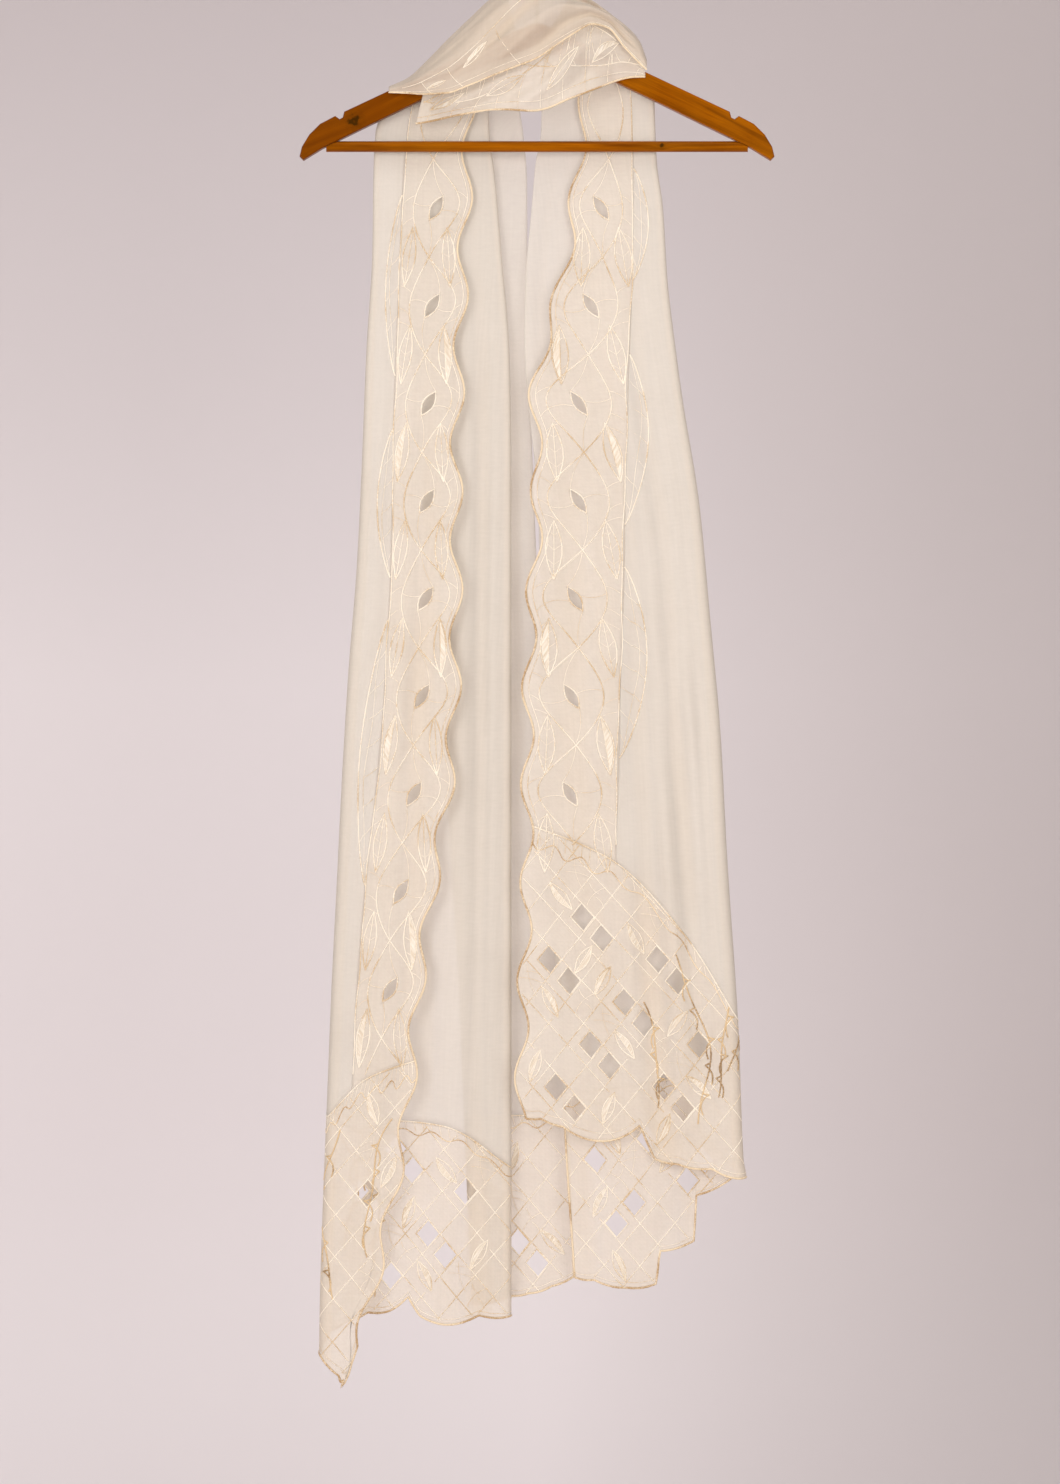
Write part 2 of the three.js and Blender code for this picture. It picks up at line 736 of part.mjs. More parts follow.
function isRightFront(point) {
  const [front, middle] = rightDepths(point.z);
  return point.y < (front + middle) / 2;
}

function rightLaceEnd() {
  const start = rightEdge;
  const end = () => -GAP;
  const high = (p) => joinAt(RIGHT_FRONT_JOIN, p.x) - 2 * GAP;
  const low = (p) => straight(RIGHT_FRONT_HEM, p.x);
  const region = tailRegion({ across: 22, down: 8, start, end, place: rightTail, high, low });
  const plan = (s, z) => foldedPlan(s, rightTurns(z), rightDepths(z), -1).clear;
  const keep = clearOf(rightTail, plan, start, end, high, low);
  return drapedSheet(region, rightTail, openLozenges(keep, -60, -230, 0, -1180, -870));
}

function rightBackEnd() {
  const start = () => GAP;
  const end = (z) => rightAlong(1, column(RIGHT_SECTIONS, "z", "inner", z), z);
  const high = (p) => joinAt(RIGHT_MIDDLE_JOIN, p.x) - 2 * GAP;
  const low = (p) => straight(RIGHT_REAR_HEM, p.x);
  const region = tailRegion({ across: 20, down: 7, start, end, place: rightTail, high, low });
  const plan = (s, z) => foldedPlan(s, rightTurns(z), rightDepths(z), -1).clear;
  const keep = clearOf(rightTail, plan, start, end, high, low);
  return drapedSheet(region, rightTail, openLozenges(keep, 60, 0, 200, -1290, -1060));
}

// Neck

// A smooth line through a few points of an upright section, carried on past its two ends.
function sectionPoint(points, t) {
  const curve = new THREE.CatmullRomCurve3(points, false, "centripetal");
  const end = t < 0 ? 0 : 1;
  if (t >= 0 && t <= 1) return curve.getPoint(t);
  return curve.getPoint(end).multiplyScalar(2).sub(curve.getPoint(2 * end - t));
}

function neckAt(name, x) {
  return column(NECK_SECTIONS, "x", name, x);
}

function crownPoint(x) {
  return new THREE.Vector3(x, neckAt("ridge", x), neckAt("crown", x));
}

// The end of the turned-back top, where the cloth goes on behind the arms.
function flapPoint(x) {
  const crown = crownPoint(x);
  return crown.add(new THREE.Vector3(0, FLAP_BACK, -FLAP_DROP));
}

function napePoint(x) {
  return crownPoint(x).add(new THREE.Vector3(0, FLAP_BACK * 0.68, -FLAP_DROP * 0.28));
}

// The cowl: from its corded lower edge up over the top and a little way down behind.
function cowlSurface(x, t) {
  const front = neckAt("front", x);
  const cord = neckAt("cord", x);
  const crown = crownPoint(x);
  const rise = crown.z - cord;
  const belly = new THREE.Vector3(x, front - 0.06 * rise, cord + 0.42 * rise);
  const brow = new THREE.Vector3(x, mix(front, crown.y, 0.34), cord + 0.86 * rise);
  return sectionPoint([new THREE.Vector3(x, front, cord), belly, brow, crown, napePoint(x), flapPoint(x)], t);
}

function neckX(step) {
  return NECK_SECTIONS[0].x + step * NECK_STEP;
}

// A sheet of the neck: sections from one step to another, in hundredths of their length.
function neckSheet(from, to, down, surface) {
  const at = (a, t) => ({ s: mix(from, to, a), z: 100 * (1 - t) });
  const region = { across: to - from, down, at };
  return drapedSheet(region, (s, z) => surface(s, 1 - z / 100), []);
}

function cowl() {
  return neckSheet(0, NECK_STEPS, 10, (step, t) => cowlSurface(neckX(step), t));
}

// The lace swag: from its rim up inside the cowl, where it lies against the arms at both ends.
function swagSurface(x, t) {
  const rim = neckAt("rim", x);
  const depth = neckAt("swag", x);
  const top = Math.min(neckAt("cord", x) + 14, neckAt("crown", x) - 8);
  const rise = top - rim;
  const bulge = 3 * ease((-depth - 7.1) / 12);
  const belly = new THREE.Vector3(x, depth - bulge, rim + 0.45 * rise);
  const brow = new THREE.Vector3(x, depth - bulge * 0.6, rim + 0.8 * rise);
  return sectionPoint([new THREE.Vector3(x, depth, rim), belly, brow, new THREE.Vector3(x, depth, top)], t);
}

function swag() {
  const [from, to] = SWAG_STEPS;
  return neckSheet(from, to, 6, (step, t) => swagSurface(neckX(step), t));
}

// Over an arm: from the turned-back top to the rearmost layer of the tail below it.
function shoulder([from, to], place, along, footFrom, footTo) {
  const surface = (step, t) => {
    const a = (step - from) / (to - from);
    const top = flapPoint(neckX(step));
    top.z -= 3.6 * SEAM_GAP;
    const x = mix(footFrom, footTo, a);
    const z = tailTop(x) + 2.5 * SEAM_GAP;
    const foot = place(along(x, z), z);
    const swell = new THREE.Vector3();
    swell.set(mix(top.x, foot.x, 0.35), mix(top.y, foot.y, 0.75), mix(top.z, foot.z, 0.4));
    return sectionPoint([top, swell, foot], t);
  };
  return neckSheet(from, to, 6, surface);
}

function leftShoulder() {
  return shoulder(SHOULDER_STEPS.left, leftTail, (x, z) => leftAlong(3, x, z), -126, -17);
}

function rightShoulder() {
  return shoulder(SHOULDER_STEPS.right, rightTail, (x, z) => rightAlong(1, x, z), 7, 104);
}

// Hanger

function hangerOutline() {
  const lowAt = (x) => APEX_Z - ARM_DEPTH - LOW_SLOPE * x;
  const right = [
    [181, armTop(181)],
    [182.5, armTop(181) - 5.5],
    [185.5, armTop(181) - 7],
    [189.5, armTop(189.5)],
    [203.7, armTop(203.7) - 0.8],
    [213.9, -194.6],
    [220.8, -206],
    [HANGER_HALF, -215],
    [219.5, -218.5],
    [201, lowAt(201)],
  ];
  const shape = new THREE.Shape();
  shape.moveTo(-12, armTop(12));
  shape.quadraticCurveTo(0, APEX_Z + 1.5, 12, armTop(12));
  for (const [x, z] of right) shape.lineTo(x, z);
  shape.lineTo(26, lowAt(26));
  shape.quadraticCurveTo(0, lowAt(8), -26, lowAt(26));
  for (const [x, z] of [...right].reverse()) shape.lineTo(-x, z);
  return shape;
}

function hangerArms() {
  const geometry = new THREE.ExtrudeGeometry(hangerOutline(), {
    depth: WOOD_THICK - 2 * WOOD_BEVEL,
    bevelEnabled: true,
    bevelThickness: WOOD_BEVEL,
    bevelSize: WOOD_BEVEL,
    bevelOffset: -WOOD_BEVEL,
    bevelSegments: 3,
    curveSegments: 8,
  });
  geometry.translate(0, 0, -WOOD_THICK / 2 + WOOD_BEVEL);
  geometry.rotateX(Math.PI / 2);
  const bore = new THREE.CylinderGeometry(HOOK_WIRE + 0.3, HOOK_WIRE + 0.3, 2 * STEM_DEPTH, 20);
  bore.rotateX(Math.PI / 2);
  bore.translate(0, 0, APEX_Z);
  return geometryOf(solidOf(geometry).subtract(solidOf(bore)));
}

// The trouser bar, its ends cut to lie under the arms.
function trouserBar() {
  const bar = new THREE.CylinderGeometry(BAR_RADIUS, BAR_RADIUS, 2 * BAR_HALF, 20);
  bar.rotateZ(Math.PI / 2);
  bar.translate(0, 0, BAR_Z);
  let solid = solidOf(bar);
  for (const side of [-1, 1]) {
    const lowAt = (x) => APEX_Z - ARM_DEPTH - LOW_SLOPE * x - SEAM_GAP * 1.2;
    const cut = [
      [side * 150, lowAt(150)],
      [side * 260, lowAt(260)],
      [side * 260, -100],
      [side * 150, -100],
    ];
    const wedge = new THREE.Shape(cut.map(([x, z]) => new THREE.Vector2(x, z)));
    const block = new THREE.ExtrudeGeometry(wedge, { depth: 40, bevelEnabled: false });
    block.translate(0, 0, -20);
    block.rotateX(Math.PI / 2);
    solid = solid.subtract(solidOf(block));
  }
  return geometryOf(solid);
}

// The steel hook: up from the wood, out and round over the rail.
function hook() {
  const mid = HOOK_INNER + HOOK_WIRE;
  const centre = -HOOK_INNER;
  const points = [
    new THREE.Vector3(0, 0, APEX_Z - STEM_DEPTH + 3),
    new THREE.Vector3(0, 0, APEX_Z + 10),
    new THREE.Vector3(0, 0, centre - mid - 10),
    new THREE.Vector3(4, 0, centre - mid - 1),
  ];
  for (let degrees = -50; degrees <= 205; degrees += 15) {
    const turn = (degrees * Math.PI) / 180;
    points.push(new THREE.Vector3(mid * Math.cos(turn), 0, centre + mid * Math.sin(turn)));
  }
  const path = new THREE.CatmullRomCurve3(points, false, "centripetal");
  const wire = new THREE.Shape();
  wire.absarc(0, 0, HOOK_WIRE, 0, 2 * Math.PI, false);
  return new THREE.ExtrudeGeometry(wire, {
    extrudePath: path,
    steps: 44,
    curveSegments: 4,
    bevelEnabled: false,
  });
}

// Materials

function material(color, roughness, metalness = 0) {
  return new THREE.MeshStandardMaterial({ color, roughness, metalness, side: THREE.DoubleSide });
}

const silk = () => material(0xf3ead9, 0.55);
const lace = () => material(0xf2e4cf, 0.6);
const wood = () => material(0xa85f24, 0.35);
const steel = () => material(0xc9c9c6, 0.25, 1);

const pieces = [
  ["hanger_arms", hangerArms, wood],
  ["trouser_bar", trouserBar, wood],
  ["hook", hook, steel],
  ["neck_cowl", cowl, silk],
  ["neck_lace_swag", swag, lace],
  ["left_shoulder", leftShoulder, silk],
  ["left_lace_border", leftLaceBorder, lace],
  ["left_panel", leftPanel, silk],
  ["left_lace_corner", leftLaceCorner, lace],
  ["left_lace_end", leftLaceEnd, lace],
  ["left_back", leftBack, silk],
  ["left_back_lace_end", leftBackEnd, lace],
  ["right_shoulder", rightShoulder, silk],
  ["right_lace_border", rightLaceBorder, lace],
  ["right_panel", rightPanel, silk],
  ["right_lace_end", rightLaceEnd, lace],
  ["right_back_lace_end", rightBackEnd, lace],
];

const stole = new THREE.Group();
for (const [name, make, finish] of pieces) {
  const mesh = new THREE.Mesh(make(), finish());
  mesh.name = name;
  stole.add(mesh);
}

export default stole;
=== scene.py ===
# %% [markdown]
# # An evening stole on a wooden hanger
# The stole is one long piece of sheer cream silk with lace borders and lace ends. Its middle lies in
# front of the hanger's neck as a cowl, and both ends go back over the arms and hang down behind them.
# Each end is folded lengthwise, so what hangs down is a zigzag of thin layers, one behind the other.
# The measured model already holds the shape of every layer. Here each layer is made again as thin
# cloth with its creases, its cutwork and its sewn cords.

# %% Load the measured frame
import bisect
import math
import random

import bmesh
import bpy
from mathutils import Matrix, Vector, noise


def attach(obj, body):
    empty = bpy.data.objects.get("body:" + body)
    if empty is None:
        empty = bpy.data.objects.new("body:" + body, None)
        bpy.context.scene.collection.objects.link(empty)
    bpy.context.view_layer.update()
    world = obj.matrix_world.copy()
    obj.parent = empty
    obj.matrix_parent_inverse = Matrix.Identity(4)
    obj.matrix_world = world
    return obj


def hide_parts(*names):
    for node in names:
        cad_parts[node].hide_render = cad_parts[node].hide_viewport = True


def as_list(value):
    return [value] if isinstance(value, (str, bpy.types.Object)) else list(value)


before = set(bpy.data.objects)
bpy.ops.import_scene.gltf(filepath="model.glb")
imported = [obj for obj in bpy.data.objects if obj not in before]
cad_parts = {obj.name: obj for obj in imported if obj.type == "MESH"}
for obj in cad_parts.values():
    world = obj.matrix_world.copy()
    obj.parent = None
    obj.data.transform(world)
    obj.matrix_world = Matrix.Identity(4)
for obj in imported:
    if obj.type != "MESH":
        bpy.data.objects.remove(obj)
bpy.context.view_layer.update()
MM = 0.001
random.seed(7)

# %% [markdown]
# ## Sizes as short tables
# Cloth that hangs has no simple formula: its edges were measured at a few heights. A spreadsheet-like
# table holds those numbers, and a smooth line through them gives every height between. Straight lines
# would leave corners in the silhouette, and a plain spline would swing past the measured numbers, so
# the slopes here are the ones that never overshoot.

# %% A table with smooth columns
def smooth_slopes(keys, values):
    secants = [(values[i + 1] - values[i]) / (keys[i + 1] - keys[i]) for i in range(len(keys) - 1)]
    slopes = [secants[0]]
    for before, after in zip(secants, secants[1:]):
        slopes.append(0 if before * after <= 0 else 2 * before * after / (before + after))
    return slopes + [secants[-1]]


class Table:
    """Columns of sizes over one key. Every column is sampled once, each half millimetre."""

    STEP = 0.5

    def __init__(self, names, rows):
        rows = sorted(rows)
        keys = [row[0] for row in rows]
        self.first, self.last = keys[0], keys[-1]
        self.count = int((self.last - self.first) / self.STEP) + 1
        self.lines = {}
        for n, name in enumerate(names.split()[1:], 1):
            values = [row[n] for row in rows]
            slopes = smooth_slopes(keys, values)
            self.lines[name] = [
                self.between(keys, values, slopes, self.first + i * self.STEP) for i in range(self.count)
            ] + [values[-1]]

    @staticmethod
    def between(keys, values, slopes, key):
        i = min(max(bisect.bisect_right(keys, key) - 1, 0), len(keys) - 2)
        span = keys[i + 1] - keys[i]
        t = (key - keys[i]) / span
        a, b = values[i], values[i + 1]
        m, n = slopes[i] * span, slopes[i + 1] * span
        return (
            (2 * t**3 - 3 * t * t + 1) * a
            + (t**3 - 2 * t * t + t) * m
            + (3 * t * t - 2 * t**3) * b
            + (t**3 - t * t) * n
        )

    def at(self, name, key):
        line = self.lines[name]
        place = (min(max(key, self.first), self.last) - self.first) / self.STEP
        i = min(int(place), self.count - 1)
        return line[i] + (line[i + 1] - line[i]) * (place - i)


def mix(a, b, t):
    return a + (b - a) * t


def ease(t):
    u = min(1, max(0, t))
    return u * u * (3 - 2 * u)


# %% The left tail's sizes, in millimetres
LEFT_SECTIONS = Table("z edge lace outer inner hidden rear", [
    (-110, -58, 48, -130, -46, -122, -17), (-155, -62, 54, -138, -46, -128, -17),
    (-190, -64, 58, -152, -45, -136, -13), (-230, -66, 60, -154, -40, -134, -9.5),
    (-300, -69, 60, -155, -34, -128, -9), (-400, -73, 60, -161, -26, -120, -8),
    (-500, -76, 60, -165, -24.4, -112, -4), (-600, -76, 62, -170, -24.4, -102, 0),
    (-700, -77, 66, -178, -24.4, -94, 6), (-800, -83, 68, -184, -24.4, -86, 12),
    (-900, -98, 64, -189, -24.4, -80, 18), (-1000, -112, 58, -194, -24.4, -74, 24),
    (-1100, -121, 54, -198, -24.4, -70, 28), (-1200, -137, 50, -202, -24.4, -66, 32),
    (-1300, -160, 40, -205, -24.4, -62, 36), (-1380, -182, 20, -206, -24.4, -60, 38),
])
LEFT_DEPTHS = Table("z front middle turned back", [
    (-100, 8.8, 13.4, 17.6, 22), (-220, 8.8, 14, 18.4, 23), (-400, 10, 20, 27, 34), (-700, 10, 26, 36, 46),
    (-1390, 10, 28, 39, 50),
])

# %% The right tail's sizes
RIGHT_SECTIONS = Table("z edge lace outer inner", [
    (-100, 44, 41, 94, 6), (-140, 45, 43, 106, 5), (-160, 45, 44, 110.5, 4.5), (-190, 42, 48, 111.5, 3.8),
    (-220, 39, 52, 113, -1.5), (-260, 35, 56, 118.5, -5), (-330, 24, 66, 123, -11),
    (-385, 8, 80, 129.5, -12), (-440, -2, 88, 137, -9), (-540, 0, 83, 153, 1), (-650, -6, 87, 163.5, 3),
    (-755, -9, 87, 173, 5), (-875, -9.5, 84, 179.5, 10), (-1035, -14, 84, 190, 22),
    (-1160, -16, 84, 195, 28), (-1175, -16, 84, 197.4, 29), (-1290, -16, 84, 199, 37),
])
RIGHT_DEPTHS = Table("z front middle", [
    (-100, 8.8, 14), (-220, 8.8, 15), (-400, 10, 20), (-700, 10, 25), (-1390, 10, 28),
])

# %% The neck's sizes, a row for each upright section
NECK = Table("x crown ridge cord front rim swag", [
    (-139, -149.6, -1, -156, -12, -187, -7.1), (-121, -141, 0, -157.5, -17, -186.5, -6.9),
    (-103, -124.5, 0, -159.5, -24, -184, -7.4), (-85, -107, -2, -159.5, -31, -181, -15),
    (-63, -87, -6, -152.8, -37, -177.5, -23), (-40, -67.5, -12, -144, -41, -175, -28),
    (-20, -57.5, -16, -136.5, -43, -176.5, -30), (0, -54, -18, -128.5, -43, -178, -31),
    (20, -58.5, -16, -114.5, -40, -170, -29), (36, -67.5, -12, -103.5, -36, -163, -25),
    (52, -74, -8, -95, -31, -157, -20.5), (66, -81.5, -5, -97.5, -25, -150, -16),
    (82, -92.7, -2, -115, -19, -143, -11), (96, -106, 0, -129, -14.5, -141, -7.5),
    (104, -127, 0, -136, -12, -141, -7.1),
])
FLAP_DROP, FLAP_BACK = 5, 8
NECK_STEP, NECK_STEPS = 9.3, 26
SWAG_STEPS = (3, 25)
SHOULDER_STEPS = {"left": (0, 12), "right": (18, 25)}
APEX_Z, TOP_SLOPE, TOP_GAP = -88, 0.47, 7

# %% [markdown]
# ## Hems and joins
# A hem is a row of scallops, each one a short curve between two points, like the edge of a leaf. The
# join between plain silk and lace end runs as one smooth line. Both are kept as points, and the hem
# lets each stretch sag a little so that it doesn't look cut with a ruler.

# %% Hem points and join lines
LEFT_CORNER_HEM = [(-206, -1341), (-199, -1351), (-187, -1362), (-180.5, -1375), (-175, -1352), (-160, -1305)]
LEFT_MIDDLE_HEM = [
    (-206, -1341), (-196, -1322), (-180, -1313), (-160, -1305), (-139, -1303),
    (-122, -1290), (-111, -1308), (-86, -1316), (-55, -1308), (-24, -1308),
]
LEFT_REAR_HEM = [(-62, -1298), (-26, -1291), (-8, -1289), (14, -1282), (38, -1271)]
RIGHT_FRONT_HEM = [
    (-16, -1118), (4, -1120), (24, -1127), (50, -1140), (76, -1139), (97, -1126),
    (111, -1158), (133, -1163), (165, -1167), (186, -1176), (199, -1175),
]
RIGHT_REAR_HEM = [
    (37, -1272), (54, -1274), (86, -1281), (113, -1277), (116, -1246),
    (149, -1237), (151, -1194), (185, -1177), (199, -1175),
]
JOINS = {
    "left_front": Table("x z", [(-197, -1118), (-160, -1082), (-110, -1064)]),
    "left_middle": Table("x z", [(-197, -1118), (-90, -1128), (-24, -1168)]),
    "right_front": Table("x z", [(-20, -838), (70, -876), (140, -948), (190, -1028)]),
    "right_middle": Table("x z", [(20, -1100), (140, -1080), (190, -1028)]),
}
LEFT_REAR_JOIN_Z = -1120
HEM_SAG = 0.07


def hem_at(points, x):
    if x <= points[0][0]:
        return points[0][1]
    for (x0, z0), (x1, z1) in zip(points, points[1:]):
        if x <= x1:
            t = (x - x0) / (x1 - x0)
            return mix(z0, z1, t) - HEM_SAG * 4 * t * (1 - t) * (x1 - x0)
    return points[-1][1]


# %% [markdown]
# ## Where the cloth of a folded tail lies
# Every point of a tail has a place on the flat cloth: s is the way across it, counted from the crown
# of the outer fold, and z is the height it hangs at. Seen from above, a tail is a zigzag: straight
# layers with half circles between them. The plan walks along that zigzag by s. Working in flat cloth
# first means that lace can be drawn and cut as on a table, and only then be hung.

# %% A folded tail
ARMS_Z = -180  # below this height the cloth hangs free of the arms
CALM_BY_FOLD = 20  # how far from a fold the creases reach their full height


def half_gaps(depths):
    return [(back - front) / 2 for front, back in zip(depths, depths[1:])]


class Tail:
    """folds and layers name the columns of sections and depths; inward is the way from the outer fold."""

    def __init__(self, sections, depths, folds, layers, inward, creases):
        self.sections, self.depth_table, self.folds, self.layers = sections, depths, folds, layers
        self.inward, self.creases = inward, creases

    def turns(self, z):
        return [self.sections.at(name, z) for name in self.folds]

    def depths(self, z):
        return [self.depth_table.at(name, z) for name in self.layers]

    def plan(self, s, z):
        """x, y, how far the point is from a fold, and its layer."""
        turns, depths = self.turns(z), self.depths(z)
        radii = half_gaps(depths)
        along = s + radii[0] * math.pi / 2
        if along < 0:
            return turns[0] + self.inward * (radii[0] - along), depths[0], -along, 0
        heading = self.inward
        for k, turn in enumerate(turns):
            r = radii[k]
            centre = turn + heading * r
            if along <= math.pi * r:
                angle = along / r
                return centre - heading * r * math.sin(angle), depths[k] + r * (1 - math.cos(angle)), 0, k + 1
            along -= math.pi * r
            run = math.inf
            if k + 1 < len(turns):
                run = abs(turns[k + 1] - turn) - r - radii[k + 1]
            if along <= run:
                return centre + heading * along, depths[k + 1], min(along, run - along), k + 1
            along -= run
            heading = -heading

    def along(self, layer, x, z):
        """The way across the cloth of a point x on a layer."""
        turns, radii = self.turns(z), half_gaps(self.depths(z))
        if layer == 0:
            return -(abs(x - turns[0]) - radii[0]) - radii[0] * math.pi / 2
        s = -radii[0] * math.pi / 2
        for k in range(layer):
            s += math.pi * radii[k]
            if k + 1 == layer:
                return s + abs(x - turns[k]) - radii[k]
            s += abs(turns[k + 1] - turns[k]) - radii[k] - radii[k + 1]

    def place(self, s, z):
        """Millimetres in the frame of a point of the flat cloth."""
        x, y, clear, layer = self.plan(s, z)
        pucker = 0.9 * noise.noise(Vector((s / 19, z / 30, layer))) + 1.1 * noise.noise(Vector((s / 34, z / 90, 7)))
        lift = self.crease(layer, x, z) + pucker * mix(0.3, 1, ease((ARMS_Z - z) / 400))
        return x, y + ease(clear / CALM_BY_FOLD) * lift, z

    def shade(self, s, z):
        """How much painted shade darkens the cloth's colour: near the folds, where the cloth also lies denser, in
        crease troughs and a little on ridges.
        """
        x, _, clear, layer = self.plan(s, z)
        trough = ease(clear / CALM_BY_FOLD) * self.crease(layer, x, z)
        return min(1, 0.4 * (1 - ease(clear / 5)) + max(0, trough) / 8 + max(0, -trough) / 22)

    def crease(self, layer, x, z):
        """How far the listed creases push the cloth back (plus) or out (minus)."""
        outer, inner = self.sections.at("outer", z), self.sections.at("inner", z)
        across = (x - outer) / (inner - outer)
        hang = mix(0.16, 1, ease((ARMS_Z - z) / 620))
        out = 0
        for top, bottom, from_share, to_share, width, height in self.creases[layer]:
            u = (top - z) / (top - bottom)
            if u <= 0 or u >= 1.4:
                continue
            centre = mix(from_share, to_share, u) + 0.012 * math.sin(z / 57 + top)
            near = (across - centre) * abs(inner - outer) / (width * mix(0.95, 1.9, ease(u)))
            if abs(near) < 3:
                out += height * ease(u * 4) * ease((1.4 - u) * 3.5) * math.exp(-near * near)
        return out * hang


# %% [markdown]
# ## The creases
# Sheer silk that hangs from a hanger falls in long soft ridges. They start at the arm, drift sideways
# and die out before the hem. A cloth simulation would find such folds, but not the ones of this
# stole, so each is written down: where it starts and ends, where it lies across the layer, how wide
# it is and how far it stands out (towards the viewer) or in. No two of them are alike.

# %% Listed ridges and troughs: top, bottom, share across at each, width, height in millimetres
LEFT_CREASES = {
    0: [
        (-150, -700, 0.10, 0.07, 9, -4.2), (-170, -1250, 0.22, 0.17, 8, 3.4), (-320, -1100, 0.33, 0.29, 12, -4.6),
        (-200, -640, 0.48, 0.42, 11, 3.0), (-560, -1330, 0.45, 0.40, 13, 3.8), (-240, -900, 0.66, 0.58, 8, -2.6),
        (-780, -1390, 0.16, 0.20, 9, -3.4), (-900, -1390, 0.62, 0.70, 10, -2.6),
    ],
    1: [
        (-140, -980, 0.93, 0.90, 7, -5.0), (-180, -1300, 0.80, 0.83, 8, 4.6), (-240, -860, 0.70, 0.74, 6, -3.8),
        (-420, -1330, 0.62, 0.66, 11, -4.2), (-300, -1200, 0.52, 0.50, 12, 3.6), (-700, -1360, 0.36, 0.42, 12, -3.2),
        (-260, -760, 0.30, 0.33, 9, 2.8), (-840, -1360, 0.20, 0.24, 11, 3.4),
    ],
    2: [(-220, -1200, 0.70, 0.62, 16, -2.6), (-500, -1300, 0.40, 0.45, 15, 2.4)],
    3: [
        (-180, -1000, 0.55, 0.60, 12, 3.4), (-240, -1280, 0.86, 0.90, 13, -3.6), (-300, -900, 1.02, 1.05, 9, 3.0),
        (-420, -1290, 1.14, 1.18, 12, -3.4), (-600, -1290, 0.72, 0.68, 14, 4.0),
    ],
}
RIGHT_CREASES = {
    0: [
        (-140, -620, 0.10, 0.16, 8, -4.4), (-160, -1170, 0.24, 0.24, 9, 4.8), (-210, -900, 0.36, 0.33, 7, -4.4),
        (-360, -1170, 0.08, 0.09, 11, 4.0), (-300, -1020, 0.46, 0.42, 8, 3.2), (-640, -1180, 0.17, 0.155, 8, -5.2),
        (-480, -1160, 0.64, 0.60, 12, -3.2), (-400, -860, 0.82, 0.80, 11, 2.8), (-760, -1180, 0.34, 0.31, 9, -4.0),
        (-860, -1180, 0.50, 0.47, 10, 4.2), (-900, -1190, 0.72, 0.74, 12, 3.0),
    ],
    1: [
        (-150, -700, 0.96, 0.94, 6, -4.2), (-180, -560, 0.86, 0.90, 5, 3.2), (-190, -1200, 0.76, 0.80, 9, -4.0),
        (-360, -1280, 0.88, 0.87, 10, 4.2), (-260, -900, 0.60, 0.62, 10, 3.6), (-500, -1270, 0.48, 0.45, 13, -4.2),
        (-700, -1280, 0.30, 0.33, 12, 3.8), (-860, -1280, 0.66, 0.64, 11, -3.4),
    ],
}
left = Tail(LEFT_SECTIONS, LEFT_DEPTHS, ["outer", "inner", "hidden"], ["front", "middle", "turned", "back"], 1,
            LEFT_CREASES)
right = Tail(RIGHT_SECTIONS, RIGHT_DEPTHS, ["outer"], ["front", "middle"], -1, RIGHT_CREASES)

# %% Edges, seams and folds of the tails, as ways across the flat cloth
BORDER_PITCH = 92
EDGE_WAVE = 6


def edge_wave(z):
    return EDGE_WAVE * math.sin(2 * math.pi * z / BORDER_PITCH)


def upright(tail, layer, x_at):
    """The way across the cloth, by height, of a line on a layer whose x is known at each height."""
    return lambda z: tail.along(layer, x_at(z), z)


left_edge = upright(left, 0, lambda z: LEFT_SECTIONS.at("edge", z) + edge_wave(z))
left_seam = upright(left, 0, lambda z: LEFT_SECTIONS.at("edge", z) - LEFT_SECTIONS.at("lace", z))
left_rear = upright(left, 3, lambda z: LEFT_SECTIONS.at("rear", z))
right_edge = upright(right, 0, lambda z: RIGHT_SECTIONS.at("edge", z) - edge_wave(z))
right_seam = upright(right, 0, lambda z: RIGHT_SECTIONS.at("edge", z) + RIGHT_SECTIONS.at("lace", z))
right_inner = upright(right, 1, lambda z: RIGHT_SECTIONS.at("inner", z))


def left_inner_crown(z):
    outer, inner, _ = left.turns(z)
    r0, r1, _ = half_gaps(left.depths(z))
    return r0 * math.pi / 2 + abs(inner - outer) - r0 - r1 + r1 * math.pi / 2


def tail_top(x, y, z):
    return APEX_Z - TOP_SLOPE * abs(x) - TOP_GAP


def below_arm(x, y, z):
    return z < tail_top(x, y, z) - 0.6


print("left tail, cloth across at -700:", round(left_rear(-700) - left_edge(-700)), "mm")
print("right tail, cloth across at -700:", round(right_inner(-700) - right_edge(-700)), "mm")

# %% [markdown]
# ## A sheet of cloth
# A sheet starts as a plain grid, which is laid into its outline on the flat cloth. Openings and satin
# patches are cut into it there: a knife line (bisect) for every side of the patch, only through the
# faces near it. Then every vertex is hung at its place, and Solidify gives the thread thickness. The
# flat place is kept as a UV map in metres, so that the weave follows the cloth round its folds.

# %% Outline of a sheet between two side lines, a top line and a bottom line
class Region:
    """Side lines give s by height, top and bottom lines give z by the hung point."""

    def __init__(self, start, end, high, low, place):
        self.start, self.end, self.high, self.low, self.place = start, end, high, low, place
        self.columns = {}

    def settle(self, a, line, z):
        """The height at which the share a of the width meets a line, stepped towards from a first guess."""
        for _ in range(8):
            z = line(*self.place(mix(self.start(z), self.end(z), a), z))
        return z

    def at(self, a, t):
        a = round(a, 5)
        if a not in self.columns:
            self.columns[a] = (self.settle(a, self.high, -200), self.settle(a, self.low, -1100))
        high, low = self.columns[a]
        z = mix(high, low, t)
        return mix(self.start(z), self.end(z), a), z

    def holds(self, s, z, margin=0):
        if not self.start(z) + margin <= s <= self.end(z) - margin:
            return False
        point = self.place(s, z)
        return self.low(*point) + margin <= z <= self.high(*point) - margin


